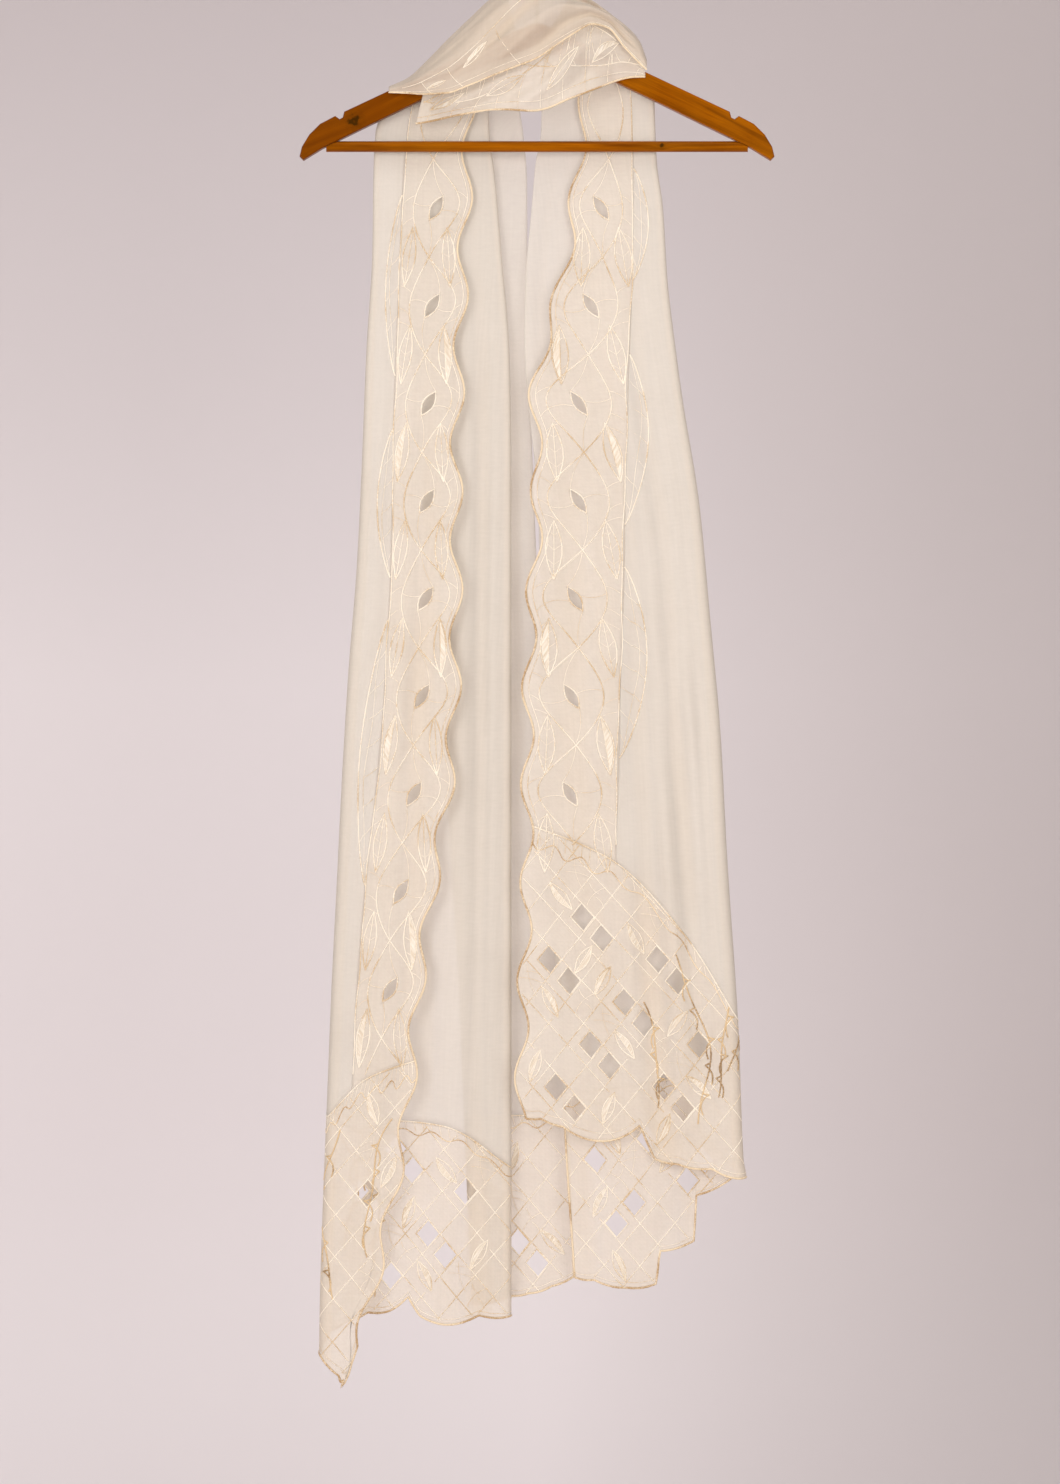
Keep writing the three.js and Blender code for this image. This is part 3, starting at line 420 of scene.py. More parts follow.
def fixed(value):
    """A line of a region that stays at one value."""
    return lambda *point: value


# %% Cutting one patch of the flat cloth
def cut_patch(bm, outline):
    """Cuts the grid along a patch's sides and returns the faces inside it. outline runs anticlockwise."""
    lows = [min(p[k] for p in outline) for k in (0, 1)]
    highs = [max(p[k] for p in outline) for k in (0, 1)]
    inside = []
    for face in bm.faces:
        xs = [v.co.x for v in face.verts]
        ys = [v.co.y for v in face.verts]
        if max(xs) > lows[0] and min(xs) < highs[0] and max(ys) > lows[1] and min(ys) < highs[1]:
            inside.append(face)
    for (s0, z0), (s1, z1) in zip(outline, outline[1:] + outline[:1]):
        away = Vector((z1 - z0, s0 - s1, 0))
        corner = Vector((s0, z0, 0))
        geom = list({v for f in inside for v in f.verts} | {e for f in inside for e in f.edges}) + inside
        cut = bmesh.ops.bisect_plane(bm, geom=geom, dist=0.002, plane_co=corner, plane_no=away)
        faces = {g for g in cut["geom"] if isinstance(g, bmesh.types.BMFace)} | {f for f in inside if f.is_valid}
        inside = [f for f in faces if (f.calc_center_median() - corner).dot(away) < 0]
    return inside


# %% Making a sheet
THREAD = 0.45  # how thick the cloth is made
LEAST_AREA = 0.301  # of the flat box, the least cloth area that is listed for a sheet
DECLARED = []


def put(name, data):
    """A new object in the scene."""
    obj = bpy.data.objects.new(name, data)
    bpy.context.scene.collection.objects.link(obj)
    return obj


def sheet(node, region, across, down, materials, openings=(), patches=(), shade=None, slot="silk", held="hung"):
    """One sheet of cloth in the place of a node. openings are cut away, patches get the second material.
    shade tells how much painted shade darkens the cloth's colour at a point, as in folds and crease troughs."""
    name = node + "_cloth"
    shade = shade or (left if name.startswith("left") else right).shade
    bm = bmesh.new()
    bmesh.ops.create_grid(bm, x_segments=across, y_segments=down, size=0.5)
    for v in bm.verts:
        s, z = region.at(v.co.x + 0.5, 0.5 - v.co.y)
        v.co = (s, z, 0)
    flat = sum(f.calc_area() for f in bm.faces)
    ways = [v.co.x for v in bm.verts]
    drops = [v.co.y for v in bm.verts]
    for outline in patches:
        for face in cut_patch(bm, outline):
            face.material_index = 1
    for outline in openings:
        bmesh.ops.delete(bm, geom=cut_patch(bm, outline), context="FACES")
    cut_away = (flat - sum(f.calc_area() for f in bm.faces)) * 1e-6
    cloth = bm.loops.layers.uv.new("cloth")
    for face in bm.faces:
        face.smooth = True
        for loop in face.loops:
            loop[cloth].uv = (loop.vert.co.x * MM, loop.vert.co.y * MM)
    # The fold attribute holds the painted shade of each point, which the cloth materials darken by.
    fold = bm.verts.layers.float.new("fold")
    for v in bm.verts:
        v[fold] = shade(v.co.x, v.co.y)
        v.co = Vector(region.place(v.co.x, v.co.y)) * MM
    bmesh.ops.recalc_face_normals(bm, faces=bm.faces)
    hung = sum(f.calc_area() for f in bm.faces) + cut_away
    mesh = bpy.data.meshes.new(name)
    bm.to_mesh(mesh)
    bm.free()
    obj = put(name, mesh)
    for material in materials:
        mesh.materials.append(material)
    wall = obj.modifiers.new("thread", "SOLIDIFY")
    wall.thickness, wall.offset = THREAD * MM, 0
    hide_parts(node)
    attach(obj, "root")
    size = ((max(ways) - min(ways)) * MM, (max(drops) - min(drops)) * MM)
    area = min(max(hung, LEAST_AREA * size[0] * size[1]), size[0] * size[1])
    DECLARED.append((obj, size, held, area))
    print(f"{name}: {size[0] * 1000:.0f} x {size[1] * 1000:.0f} mm flat, {len(mesh.polygons)} faces")
    return obj


# %% [markdown]
# ## Drawing lace on the flat cloth
# Cutwork lace is sewn on a table: a cord is stitched down along every line of the drawing, some fields
# are filled with satin stitch, and some are cut away between the cords. The drawing here does the
# same with flat points. The leaves, the stem and the trellis are ordinary lace motifs laid out in
# their own rhythm. A cord is a bevelled curve of many short splines, which costs far fewer faces than
# cutting the line into the cloth, and it stands proud on both sides as a sewn cord does.

# %% Leaves, lozenges and lines
def leaf(s, z, long, wide, turn, steps=7, sides=(1, -1)):
    """A pointed oval, its long way upright before it is turned. One side alone is half a leaf."""
    points = []
    c, q = math.cos(turn), math.sin(turn)
    for side in sides:
        for i in range(steps + (len(sides) == 1)):
            along = side * (i / steps - 0.5) * long
            out = side * wide / 2 * math.sin(math.pi * i / steps)
            points.append((s + out * c - along * q, z + out * q + along * c))
    return points


def lozenge(s, z, wide, tall):
    return [(s + wide / 2, z), (s, z + tall / 2), (s - wide / 2, z), (s, z - tall / 2)]


def line(start, end, step, bow=0):
    """Points from start to end, bowed sideways by a share of the length."""
    (s0, z0), (s1, z1) = start, end
    count = max(2, int(math.hypot(s1 - s0, z1 - z0) / step) + 1)
    points = []
    for i in range(count):
        t = i / (count - 1)
        lift = bow * 4 * t * (1 - t)
        points.append((mix(s0, s1, t) - (z1 - z0) * lift, mix(z0, z1, t) + (s1 - s0) * lift))
    return points


def runs_inside(points, test):
    """The stretches of a line whose points pass a test."""
    runs, run = [], []
    for p in points:
        if test(*p):
            run.append(p)
        else:
            runs.append(run)
            run = []
    return [r for r in runs + [run] if len(r) > 1]


def within(outline, s, z, margin):
    """Whether a point lies in a convex anticlockwise outline, or nearer to it than the margin."""
    for (s0, z0), (s1, z1) in zip(outline, outline[1:] + outline[:1]):
        long = math.hypot(s1 - s0, z1 - z0) or 1
        if ((s - s0) * (z1 - z0) - (z - z0) * (s1 - s0)) / long > margin:
            return False
    return True


class Drawing:
    """The cords, openings and satin fields of one sheet of lace."""

    def __init__(self):
        self.cords, self.fine, self.edges, self.golden = [], [], [], []
        self.openings, self.patches, self.solid = [], [], []

    def cord(self, points, radius):
        self.cords.append((points, radius))

    def edge(self, points, radius):
        self.edges.append((points, radius))

    def vein(self, points, radius):
        self.fine.append((points, radius))

    def leaf(self, s, z, long, wide, turn, satin=0, radius=0.85, veins=3):
        """A corded leaf with a midrib. satin 1 or -1 fills one half, 0 leaves both sheer."""
        whole = leaf(s, z, long, wide, turn)
        self.solid.append(whole)
        self.cord(whole + whole[:1], radius)
        c, q = math.cos(turn), math.sin(turn)
        tip, foot = (s - q * long / 2, z + c * long / 2), (s + q * long / 2, z - c * long / 2)
        self.vein(line(foot, tip, 6), 0.7)
        if satin:
            self.patches.append(leaf(s, z, long * 0.93, wide * 0.86, turn, sides=(satin,)))
        for i in range(1, veins + 1):
            at = (i / (veins + 1) - 0.5) * long
            base = (s - q * at, z + c * at)
            for side in (1, -1):
                if side == satin:
                    continue
                out = wide / 2 * math.sin(math.pi * (i / (veins + 1) + 0.12)) * 0.9
                end = (base[0] + side * out * c - q * out * 0.8, base[1] + side * out * q + c * out * 0.8)
                self.vein(line(base, end, 4), 0.42)

    def open_field(self, outline, radius=0.95):
        self.openings.append(outline)
        self.solid.append(outline)
        ring = []
        for a, b in zip(outline, outline[1:] + outline[:1]):
            ring += line(a, b, 5)[:-1]
        self.cord(ring + ring[:1], radius)

    def clear(self, s, z, margin):
        return not any(within(o, s, z, margin) for o in self.solid)


# %% Sewing the cords on
CORD_SHARE = 0.78  # of its drawn radius, how thick a cord is made
SEWN = {}


def sew(name, place, drawing, parent, keep):
    """Curve pieces for the edge cords, cords, fine veins and golden tendrils, all centred in the cloth."""
    kinds = (("edges", drawing.edges, 1, EDGE_CORD), ("cords", drawing.cords, 1, CORD),
             ("veins", drawing.fine, 0, CORD), ("tendrils", drawing.golden, 1, GOLD_CORD))
    for kind, lines, roundness, cord in kinds:
        if not lines:
            continue
        curve = bpy.data.curves.new(f"{name}_{kind}", "CURVE")
        curve.dimensions = "3D"
        curve.bevel_depth, curve.bevel_resolution, curve.use_fill_caps = MM, roundness, True
        for points, radius in lines:
            hung = [p for p in (place(s, z) for s, z in points) if keep(*p)]
            if len(hung) < 2:
                continue
            spline = curve.splines.new("POLY")
            spline.points.add(len(hung) - 1)
            for point, at in zip(spline.points, hung):
                point.co = (*(Vector(at) * MM), 1)
                point.radius = CORD_SHARE * radius * random.uniform(0.88, 1.12)
        curve.materials.append(cord)
        obj = put(curve.name, curve)
        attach(obj, "root")
        SEWN.setdefault(parent.name, []).append(obj)
    print(name, "cords:", len(drawing.cords), "veins:", len(drawing.fine))


def dress(node, sewn, region, across, down, materials, drawing, keep=fixed(True), **settings):
    """A sheet with its drawing cut and sewn. sewn is the name that its cords start with."""
    cloth = sheet(node, region, across, down, materials, drawing.openings, drawing.patches, **settings)
    sew(sewn, region.place, drawing, cloth, keep)


# %% [markdown]
# ## Threads, satin and cord as shader groups
# Seen from four metres, silk shows no single thread but an uneven, slightly streaky tone: threads of
# different thickness (slubs) along both ways of the weave. One node group makes that from the flat
# cloth's UV map and gives a tone, a cover for the sheerness and a height. Every cloth uses it with
# its own numbers, so the plain silk, the organza of the lace and the gathered neck stay related.

# %% A helper for node trees
class Nodes:
    def __init__(self, tree):
        self.tree = tree

    def feed(self, node, values):
        """Sets a node's inputs to numbers or colours, or links them to other nodes' outputs."""
        for key, value in values.items():
            if isinstance(value, bpy.types.NodeSocket):
                self.tree.links.new(value, node.inputs[key])
            else:
                node.inputs[key].default_value = value

    def add(self, kind, values=None, **settings):
        node = self.tree.nodes.new(kind)
        for key, value in settings.items():
            setattr(node, key, value)
        self.feed(node, values or {})
        return node

    def math(self, operation, a, b=0.0, clamp=False):
        node = self.add("ShaderNodeMath", {0: a, 1: b}, operation=operation)
        node.use_clamp = clamp
        return node.outputs[0]

    def times(self, a, b):
        return self.math("MULTIPLY", a, b)

    def plus(self, a, b, clamp=False):
        return self.math("ADD", a, b, clamp)

    def mix(self, share, a, b):
        return self.add("ShaderNodeMix", {0: share, 6: a, 7: b}, data_type="RGBA").outputs[2]

    def span(self, value, low, high, to_low=0.0, to_high=1.0):
        return self.add("ShaderNodeMapRange", {0: value, 1: low, 2: high, 3: to_low, 4: to_high}).outputs[0]

    def scaled(self, vector, factors):
        return self.add("ShaderNodeVectorMath", {0: vector, 1: factors}, operation="MULTIPLY").outputs[0]

    def noise(self, vector, scale, detail, distortion=0.0):
        values = {"Vector": vector, "Scale": scale, "Detail": detail, "Distortion": distortion}
        return self.add("ShaderNodeTexNoise", values).outputs[0]

    def bump(self, height, strength, distance):
        values = {"Strength": strength, "Distance": distance, "Height": height}
        return self.add("ShaderNodeBump", values).outputs[0]


def group(name, inputs, outputs):
    """A node group with its helper and its two ends. inputs are (label, kind, value), outputs (label, kind)."""
    tree = bpy.data.node_groups.new(name, "ShaderNodeTree")
    for label, kind, value in inputs:
        socket = tree.interface.new_socket(label, in_out="INPUT", socket_type="NodeSocket" + kind)
        if value is not None:
            socket.default_value = value
    for label, kind in outputs:
        tree.interface.new_socket(label, in_out="OUTPUT", socket_type="NodeSocket" + kind)
    return Nodes(tree), tree.nodes.new("NodeGroupInput").outputs, tree.nodes.new("NodeGroupOutput")


def principled(name):
    """A new material with its helper and its Principled shader."""
    material = bpy.data.materials.new(name)
    material.use_nodes = True
    return material, Nodes(material.node_tree), material.node_tree.nodes["Principled BSDF"]


# %% The weave
def weave_group():
    inputs = [("Cloth", "Vector", None), ("Threads", "Float", 1400.0),
              ("Slub", "Float", 0.5), ("Cover", "Float", 0.5)]
    n, start, end = group("silk weave", inputs, [("Tone", "Float"), ("Cover", "Float"), ("Height", "Float")])
    cloth = start["Cloth"]
    streaks = [n.noise(n.scaled(cloth, squeeze), 420.0, 2.0) for squeeze in ((1.0, 0.03, 1.0), (0.25, 1.0, 1.0))]
    slub = n.times(n.plus(*streaks), 0.5)
    parts = n.add("ShaderNodeSeparateXYZ", {0: cloth}).outputs
    waves = [n.math("SINE", n.times(parts[axis], start["Threads"])) for axis in (0, 1)]
    cloud = n.math("SUBTRACT", n.noise(cloth, 14.0, 3.0), 0.5)
    spread = n.times(n.math("SUBTRACT", slub, 0.5), start["Slub"])
    n.feed(end, {
        "Tone": n.plus(n.plus(spread, n.times(cloud, 0.35)), 0.5, True),
        "Cover": n.plus(n.plus(n.times(spread, 0.55), start["Cover"]), n.times(cloud, 0.12), True),
        "Height": n.plus(n.times(n.times(*waves), 0.5), n.times(slub, 1.6)),
    })
    return n.tree


WEAVE = weave_group()
print("weave group:", len(WEAVE.nodes), "nodes")

# %% A cloth material
CLOTH_SHADE = 0.72  # how much weaker a shadow is than the cloth's cover, because thin silk lets light through
FOLD_SHADE_TINT = (0.86, 0.76, 0.6)  # what the painted shade in folds and creases keeps of the dark tone; near a fold the cloth also shows through itself


def cloth_material(name, light, dark, cover, roughness, slub=0.22):
    material, n, shader = principled(name)
    cloth = n.add("ShaderNodeUVMap", uv_map="cloth").outputs[0]
    weave = n.add("ShaderNodeGroup", {"Cloth": cloth, "Slub": slub, "Cover": cover}, node_tree=WEAVE).outputs
    fold_shade = n.add("ShaderNodeAttribute", attribute_name="fold").outputs["Fac"]
    tone = n.mix(weave["Tone"], (*dark, 1), (*light, 1))
    # Painted shade: by the fold attribute the colour is mixed towards a darker, more golden tone in folds and crease
    # troughs.
    gathered = (*[c * k for c, k in zip(dark, FOLD_SHADE_TINT)], 1)
    alpha = n.plus(weave["Cover"], n.times(fold_shade, 0.3), True)
    shadowed = n.add("ShaderNodeLightPath").outputs["Is Shadow Ray"]
    n.feed(shader, {
        "Base Color": n.mix(n.times(fold_shade, 0.4), tone, gathered),
        "Alpha": n.times(alpha, n.math("SUBTRACT", 1.0, n.times(shadowed, CLOTH_SHADE))),
        "Normal": n.bump(weave["Height"], 0.12, 0.0004),
        "Roughness": n.span(weave["Tone"], 0.2, 0.8, roughness + 0.08, roughness - 0.08),
        "Sheen Weight": 0.35, "Sheen Roughness": 0.4, "Sheen Tint": (1.0, 0.95, 0.86, 1),
        "Specular IOR Level": 0.35,
    })
    return material


# %% Satin stitch and sewn cord
def stitch_group():
    inputs = [("Cloth", "Vector", None), ("Turn", "Float", 0.6), ("Stitches", "Float", 3200.0)]
    n, start, end = group("satin stitch", inputs, [("Tone", "Float"), ("Height", "Float")])
    turned = n.add("ShaderNodeVectorRotate", {"Vector": start["Cloth"], "Angle": start["Turn"]},
                   rotation_type="Z_AXIS").outputs[0]
    across = n.add("ShaderNodeSeparateXYZ", {0: turned}).outputs[0]
    rows = n.math("SINE", n.times(across, start["Stitches"]))
    strands = n.noise(n.scaled(turned, (1.0, 0.08, 1.0)), 560.0, 2.0)
    n.feed(end, {"Tone": n.span(strands, 0.3, 0.7), "Height": n.plus(n.times(rows, 0.4), strands)})
    return n.tree


def satin_material():
    material, n, shader = principled("satin stitch")
    cloth = n.add("ShaderNodeUVMap", uv_map="cloth").outputs[0]
    stitch = n.add("ShaderNodeGroup", {"Cloth": cloth}, node_tree=stitch_group()).outputs
    n.feed(shader, {
        "Base Color": n.mix(stitch["Tone"], (0.68, 0.56, 0.41, 1), (0.89, 0.81, 0.70, 1)),
        "Normal": n.bump(stitch["Height"], 0.5, 0.0005),
        "Roughness": n.span(stitch["Tone"], 0, 1, 0.42, 0.26),
        "Sheen Weight": 0.2, "Anisotropic": 0.5,
    })
    return material


def cord_material(name, dark, light):
    material, n, shader = principled(name)
    place = n.add("ShaderNodeTexCoord").outputs["Object"]
    twist, patchy = n.noise(place, 700.0, 1.0), n.noise(place, 26.0, 2.0)
    share = n.plus(n.times(n.span(twist, 0.35, 0.65), 0.35), n.times(n.span(patchy, 0.35, 0.65), 0.65))
    n.feed(shader, {
        "Base Color": n.mix(n.span(share, 0.15, 0.6), (*dark, 1), (*light, 1)),
        "Normal": n.bump(twist, 0.5, 0.0004),
        "Roughness": n.span(twist, 0.3, 0.7, 0.5, 0.34),
        "Sheen Weight": 0.2,
    })
    return material


SILK = cloth_material("sheer silk", (0.76, 0.71, 0.65), (0.70, 0.635, 0.56), 0.57, 0.62)
ORGANZA = cloth_material("lace organza", (0.80, 0.735, 0.665), (0.725, 0.635, 0.53), 0.53, 0.5, slub=0.35)
GATHERED = cloth_material("gathered silk", (0.73, 0.635, 0.54), (0.63, 0.525, 0.41), 0.6, 0.6)
SATIN = satin_material()
LACE = [ORGANZA, SATIN]
CORD = cord_material("sewn cord", (0.64, 0.47, 0.28), (0.92, 0.83, 0.69))
EDGE_CORD = cord_material("edge cord", (0.48, 0.30, 0.14), (0.84, 0.68, 0.47))
GOLD_CORD = cord_material("golden cord", (0.30, 0.17, 0.065), (0.70, 0.51, 0.29))

# %% [markdown]
# ## The lace borders
# A border runs down the free edge of each tail. Two stems wind round each other, and each bay between
# them holds a small leaf-shaped opening. Leaves stand where the stems cross, some half filled with
# satin stitch. Drawing in shares of the border's width lets the motif swell and narrow with it.

# %% Two winding stems, their leaves and the bars beside them
FIRST_BAY, STEM_SWAY = -262, 0.33


def border_drawing(edge, seam, first, last, wide, opening_last):
    """edge and seam are ways across the cloth by height; first and last are the border's heights."""
    drawing = Drawing()
    heights = [first - 4 * i for i in range(int((first - last) / 4) + 1)] + [last]

    def across(u, z):
        return mix(edge(z), seam(z), u), z

    def stem(h):
        """How far a stem lies from the border's middle, in shares of its width."""
        return STEM_SWAY * math.cos(math.pi * (h - FIRST_BAY) / BORDER_PITCH)

    drawing.edge([across(0, h) for h in heights], 1.4)
    drawing.cord([across(0.07, h) for h in heights], 0.5)
    drawing.cord([across(0.985 + 0.014 * math.sin(h / 29) + 0.006 * math.sin(h / 11), h) for h in heights], 0.8)
    for side in (1, -1):
        drawing.cord([across(0.5 + side * stem(h), h) for h in heights], 0.9)
    k, h = 0, FIRST_BAY
    while h > last + 26:
        side = 1 if k % 2 else -1
        if h > opening_last:
            drawing.open_field(leaf(*across(0.5, h), 26, 11, 0.5, steps=5), 1.0)
        s, z = across(0.5, h)
        for way in (1, -1):
            crossing = across(0.5, h + way * (BORDER_PITCH / 2 - 2))
            drawing.vein(line((s - 6.4 * way, z + 11.6 * way), crossing, 4, 0.07 * side), 0.5)
            beside = across(0.5 + STEM_SWAY * way, h + 5 * way)
            drawing.vein(line((s + 4.8 * way, z + 2.6 * way), beside, 4, 0.1 * side), 0.5)
        for lean, drop in ((1, 12), (1, -9), (-1, 16), (-1, -5), (1, -22), (-1, -19)):
            inner = across(0.5 + lean * abs(stem(h + drop)), h + drop)
            outer = across(0.965 if lean > 0 else 0.07, h + drop + 7 * side)
            drawing.vein(line(inner, outer, 4, 0.07 * lean), 0.45)
        for lean in (1, -1):
            satin = lean if (k + lean) % 3 == 0 else 0
            drawing.leaf(*across(0.5 + 0.34 * lean, h - 46), 56, 0.2 * wide, 0.1 * lean, satin=satin, radius=0.9)
        k, h = k + 1, h - BORDER_PITCH
    print("border bays:", k)
    return drawing


def join(name):
    return lambda x, y, z: JOINS[name].at("z", x)


def hem(points):
    return lambda x, y, z: hem_at(points, x)


left_border = Region(left_edge, left_seam, tail_top, join("left_front"), left.place)
left_lines = border_drawing(left_edge, left_seam, -124, -1078, 60, -1040)
dress("left_lace_border", "left_border", left_border, 22, 210, LACE, left_lines, below_arm, slot="lace")

right_border = Region(right_edge, right_seam, tail_top, join("right_front"), right.place)
right_lines = border_drawing(right_edge, right_seam, -124, -862, 78, -820)
dress("right_lace_border", "right_border", right_border, 26, 160, LACE, right_lines, below_arm, slot="lace")

# %% [markdown]
# ## The lace ends
# Both ends of the stole finish in wide lace. A trellis of cords crosses it, and one lozenge in three
# is cut open in the corner of its cell, so that two of its sides lie along the trellis. Others carry
# a small leaf or a twig. Where a cut would come too near an edge, a join or a fold, the lozenge stays
# closed, as a sewer would leave it, because the cloth would tear there.

# %% The trellis of an end
CELL_WIDE, CELL_TALL = 34, 40
OPEN_SHARE = 0.66
OPEN_WIDE, OPEN_TALL = CELL_WIDE * OPEN_SHARE, CELL_TALL * OPEN_SHARE
# small twigs in some closed cells: how far they bow, their radius, and foot and head of each
TWIGS = {
    2: (0.08, 0.42, (((-13, 3), (12, -4)), ((3, -15), (-4, 14)), ((-6, 9), (8, 6)))),
    0: (0.12, 0.5, (((-12, -9), (7, 8)), ((-3, -1), (4, -12)), ((0, 2), (-8, 12)))),
}


def room_for(region, tail, s, z, margin):
    for ds, dz in ((1, 0), (-1, 0), (0, 1), (0, -1)):
        near_s, near_z = s + ds * (OPEN_WIDE / 2 + margin), z + dz * (OPEN_TALL / 2 + margin)
        if not region.holds(near_s, near_z) or tail.plan(near_s, near_z)[2] < 4:
            return False
    return True


def end_drawing(region, tail, origin, top, low_z, open_from, open_to):
    """origin and top are a lozenge's centre; low_z, open_from and open_to limit the cut lozenges."""
    drawing = Drawing()
    for j in range(-3, 18):
        for i in range(-14, 15):
            s, z = origin + (i + (j % 2) / 2) * CELL_WIDE, top - j * CELL_TALL / 2
            kind, twigs = (i - j) % 3, TWIGS.get((i + j) % 4)
            allowed = j >= 0 and open_from <= s <= open_to and z >= low_z
            if kind == 0 and allowed and room_for(region, tail, s, z, 7):
                drawing.open_field(lozenge(s, z, OPEN_WIDE, OPEN_TALL))
            elif kind == 1 and (i + 2 * j) % 5 < 3 and room_for(region, tail, s, z, 1.5):
                turn = (0.62 if (i + j) % 2 else -0.5) + 0.2 * math.sin(i + 3 * j)
                drawing.leaf(s - 2, z, 32, 10, turn, satin=1 if j % 2 else -1, veins=2)
            elif kind == 2 and twigs and room_for(region, tail, s, z, 1.5):
                bow, radius, ends = twigs
                for (s0, z0), (s1, z1) in ends:
                    drawing.vein(line((s + s0, z + z0), (s + s1, z + z1), 4, bow), radius)
    for way in (1, -1):
        for n in range(-22, 23, 2):
            points = []
            for i in range(-130, 131):
                s = origin + i * 3
                rise = (s - origin) * CELL_TALL / CELL_WIDE - (n + OPEN_SHARE + 0.05) * CELL_TALL / 2
                points.append((s, top + way * rise + 0.5 * math.sin(s / 23 + n)))
            for run in runs_inside(points, lambda s, z: region.holds(s, z, 0.8) and drawing.clear(s, z, 0.2)):
                drawing.cord(run, 0.7)
    return drawing


def tendrils(drawing, region, stems):
    """Golden stems that wander down the cloth, with small curls to both sides."""
    for start, end, sway, curls in stems:
        stem = [(s + sway * math.sin(z / 17 + start[0]), z) for s, z in line(start, end, 4, 0.1)]
        paths = [stem]
        for k in range(1, curls + 1):
            s, z = stem[k * (len(stem) - 1) // (curls + 1)]
            side, grow = (1, 8.5) if k % 2 else (-1, 6.5)
            paths.append([(s + side * grow * (1 - a / 12) * math.sin(a * 0.5),
                           z - 1.9 * a + 0.7 * grow * (1 - a / 12) * (1 - math.cos(a * 0.5))) for a in range(12)])
        for path in paths:
            for run in runs_inside(path, lambda s, z: region.holds(s, z, 1.2)):
                if len(run) > 2:
                    drawing.golden.append((run, 1.0))


def bind_edges(drawing, region, sides):
    """Cords along a region's hem, join and wanted sides, and a ladder of short bars beside the join."""
    shares = [i / 90 for i in range(91)]
    drawing.edge([region.at(a, 1) for a in shares], 1.35)
    drawing.vein([region.at(a, 0.972) for a in shares], 0.5)
    drawing.cord([region.at(a, 0) for a in shares], 1.0)
    drawing.edge([region.at(a, 0.055 + 0.016 * math.sin(a * 41)) for a in shares], 0.75)
    for i in range(3, 90, 4):
        drawing.vein([region.at(i / 90, 0.0), region.at(i / 90 + 0.012, 0.05)], 0.5)
    for side in sides:
        drawing.edge([region.at(side, t) for t in shares], 1.3)


def lace_end(node, sewn, tail, region, across, down, trellis, stems=(), sides=()):
    """region holds its four lines, trellis what end_drawing asks for, sides 0 and 1 are the bound ones."""
    region = Region(*region, tail.place)
    drawing = end_drawing(region, tail, *trellis)
    tendrils(drawing, region, stems)
    bind_edges(drawing, region, sides)
    dress(node, sewn, region, across, down, LACE, drawing, slot="lace")


# %% The left tail's front corner, middle end and back end
rear_join = fixed(LEFT_REAR_JOIN_Z)
lace_end("left_lace_corner", "left_corner", left, (left_edge, fixed(-0.1), join("left_front"), hem(LEFT_CORNER_HEM)),
         40, 80, (-30, -1090, -1380, -100, 0),
         [((-70, -1120), (-52, -1250), 4, 4), ((-16, -1130), (-20, -1290), 4, 5)], sides=[0])
lace_end("left_lace_end", "left_end", left, (fixed(0.1), left_inner_crown, join("left_middle"), hem(LEFT_MIDDLE_HEM)),
         80, 60, (20, -1130, -1340, 0, 200),
         [((34, -1150), (52, -1290), 5, 5), ((20, -1140), (28, -1240), 4, 4)])
lace_end("left_back_lace_end", "left_back_end", left, (left_inner_crown, left_rear, rear_join, hem(LEFT_REAR_HEM)),
         80, 56, (300, -1140, -1300, 180, 360), sides=[1])

# %% The right tail's front and back ends
lace_end("right_lace_end", "right_end", right, (right_edge, fixed(-0.1), join("right_front"), hem(RIGHT_FRONT_HEM)),
         90, 90, (-60, -870, -1180, -230, 0),
         [((-26, -918), (-12, -1075), 5, 8), ((-34, -930), (-30, -1100), 4, 8),
          ((-62, -965), (-44, -1125), 4, 5), ((-96, -1010), (-86, -1110), 3, 3)], sides=[0])
lace_end("right_back_lace_end", "right_back_end", right,
         (fixed(0.1), right_inner, join("right_middle"), hem(RIGHT_REAR_HEM)),
         80, 70, (60, -1060, -1290, 0, 200), sides=[1])

# %% [markdown]
# ## The plain silk
# Between lace border and fold the cloth is plain. Long sickle-shaped leaves are corded on it beside
# the border, and their curves carry the eye down the tail. The panel goes round the outer fold in one
# piece, so only its two ends need a join.

# %% Long leaves beside a border
def sickle_drawing(seam, leaves):
    """Each leaf: top, bottom, how far it bows into the panel, and the number of veins."""
    drawing = Drawing()
    for top, bottom, bow, veins in leaves:
        count = int((top - bottom) / 4)
        heights = [mix(top, bottom, i / count) for i in range(count + 1)]

        def at(h, share):
            u = (top - h) / (top - bottom)
            return seam(h) + share * bow * math.sin(math.pi * u) ** 0.8, h

        drawing.cord([at(h, 1) for h in heights], 0.95)
        drawing.vein([at(h, 0.62 + 0.1 * math.sin(h / 19)) for h in heights], 0.5)
        for k in range(1, veins):
            h = mix(top, bottom, k / veins)
            drawing.vein([at(h, 0), at(h - 6, 0.35), at(h - 9, 0.65), at(h - 16, 1)], 0.45)
    return drawing


def two_joins(tail, front, rear):
    """The lower line of a panel that goes round the outer fold: one join in front, the other behind."""
    return lambda x, y, z: JOINS[front if y < sum(tail.depths(z)[:2]) / 2 else rear].at("z", x)


left_panel = Region(left_seam, left_inner_crown, tail_top, two_joins(left, "left_front", "left_middle"), left.place)
left_leaves = sickle_drawing(left_seam, [(-250, -420, 12, 6), (-470, -610, 14, 6), (-650, -900, 18, 9)])
dress("left_panel", "left_panel", left_panel, 130, 130, [SILK], left_leaves, below_arm)

right_panel = Region(right_seam, right_inner, tail_top, two_joins(right, "right_front", "right_middle"), right.place)
right_leaves = sickle_drawing(right_seam, [(-225, -330, 14, 5), (-400, -560, 20, 7), (-600, -780, 24, 8)])
dress("right_panel", "right_panel", right_panel, 150, 130, [SILK], right_leaves, below_arm)

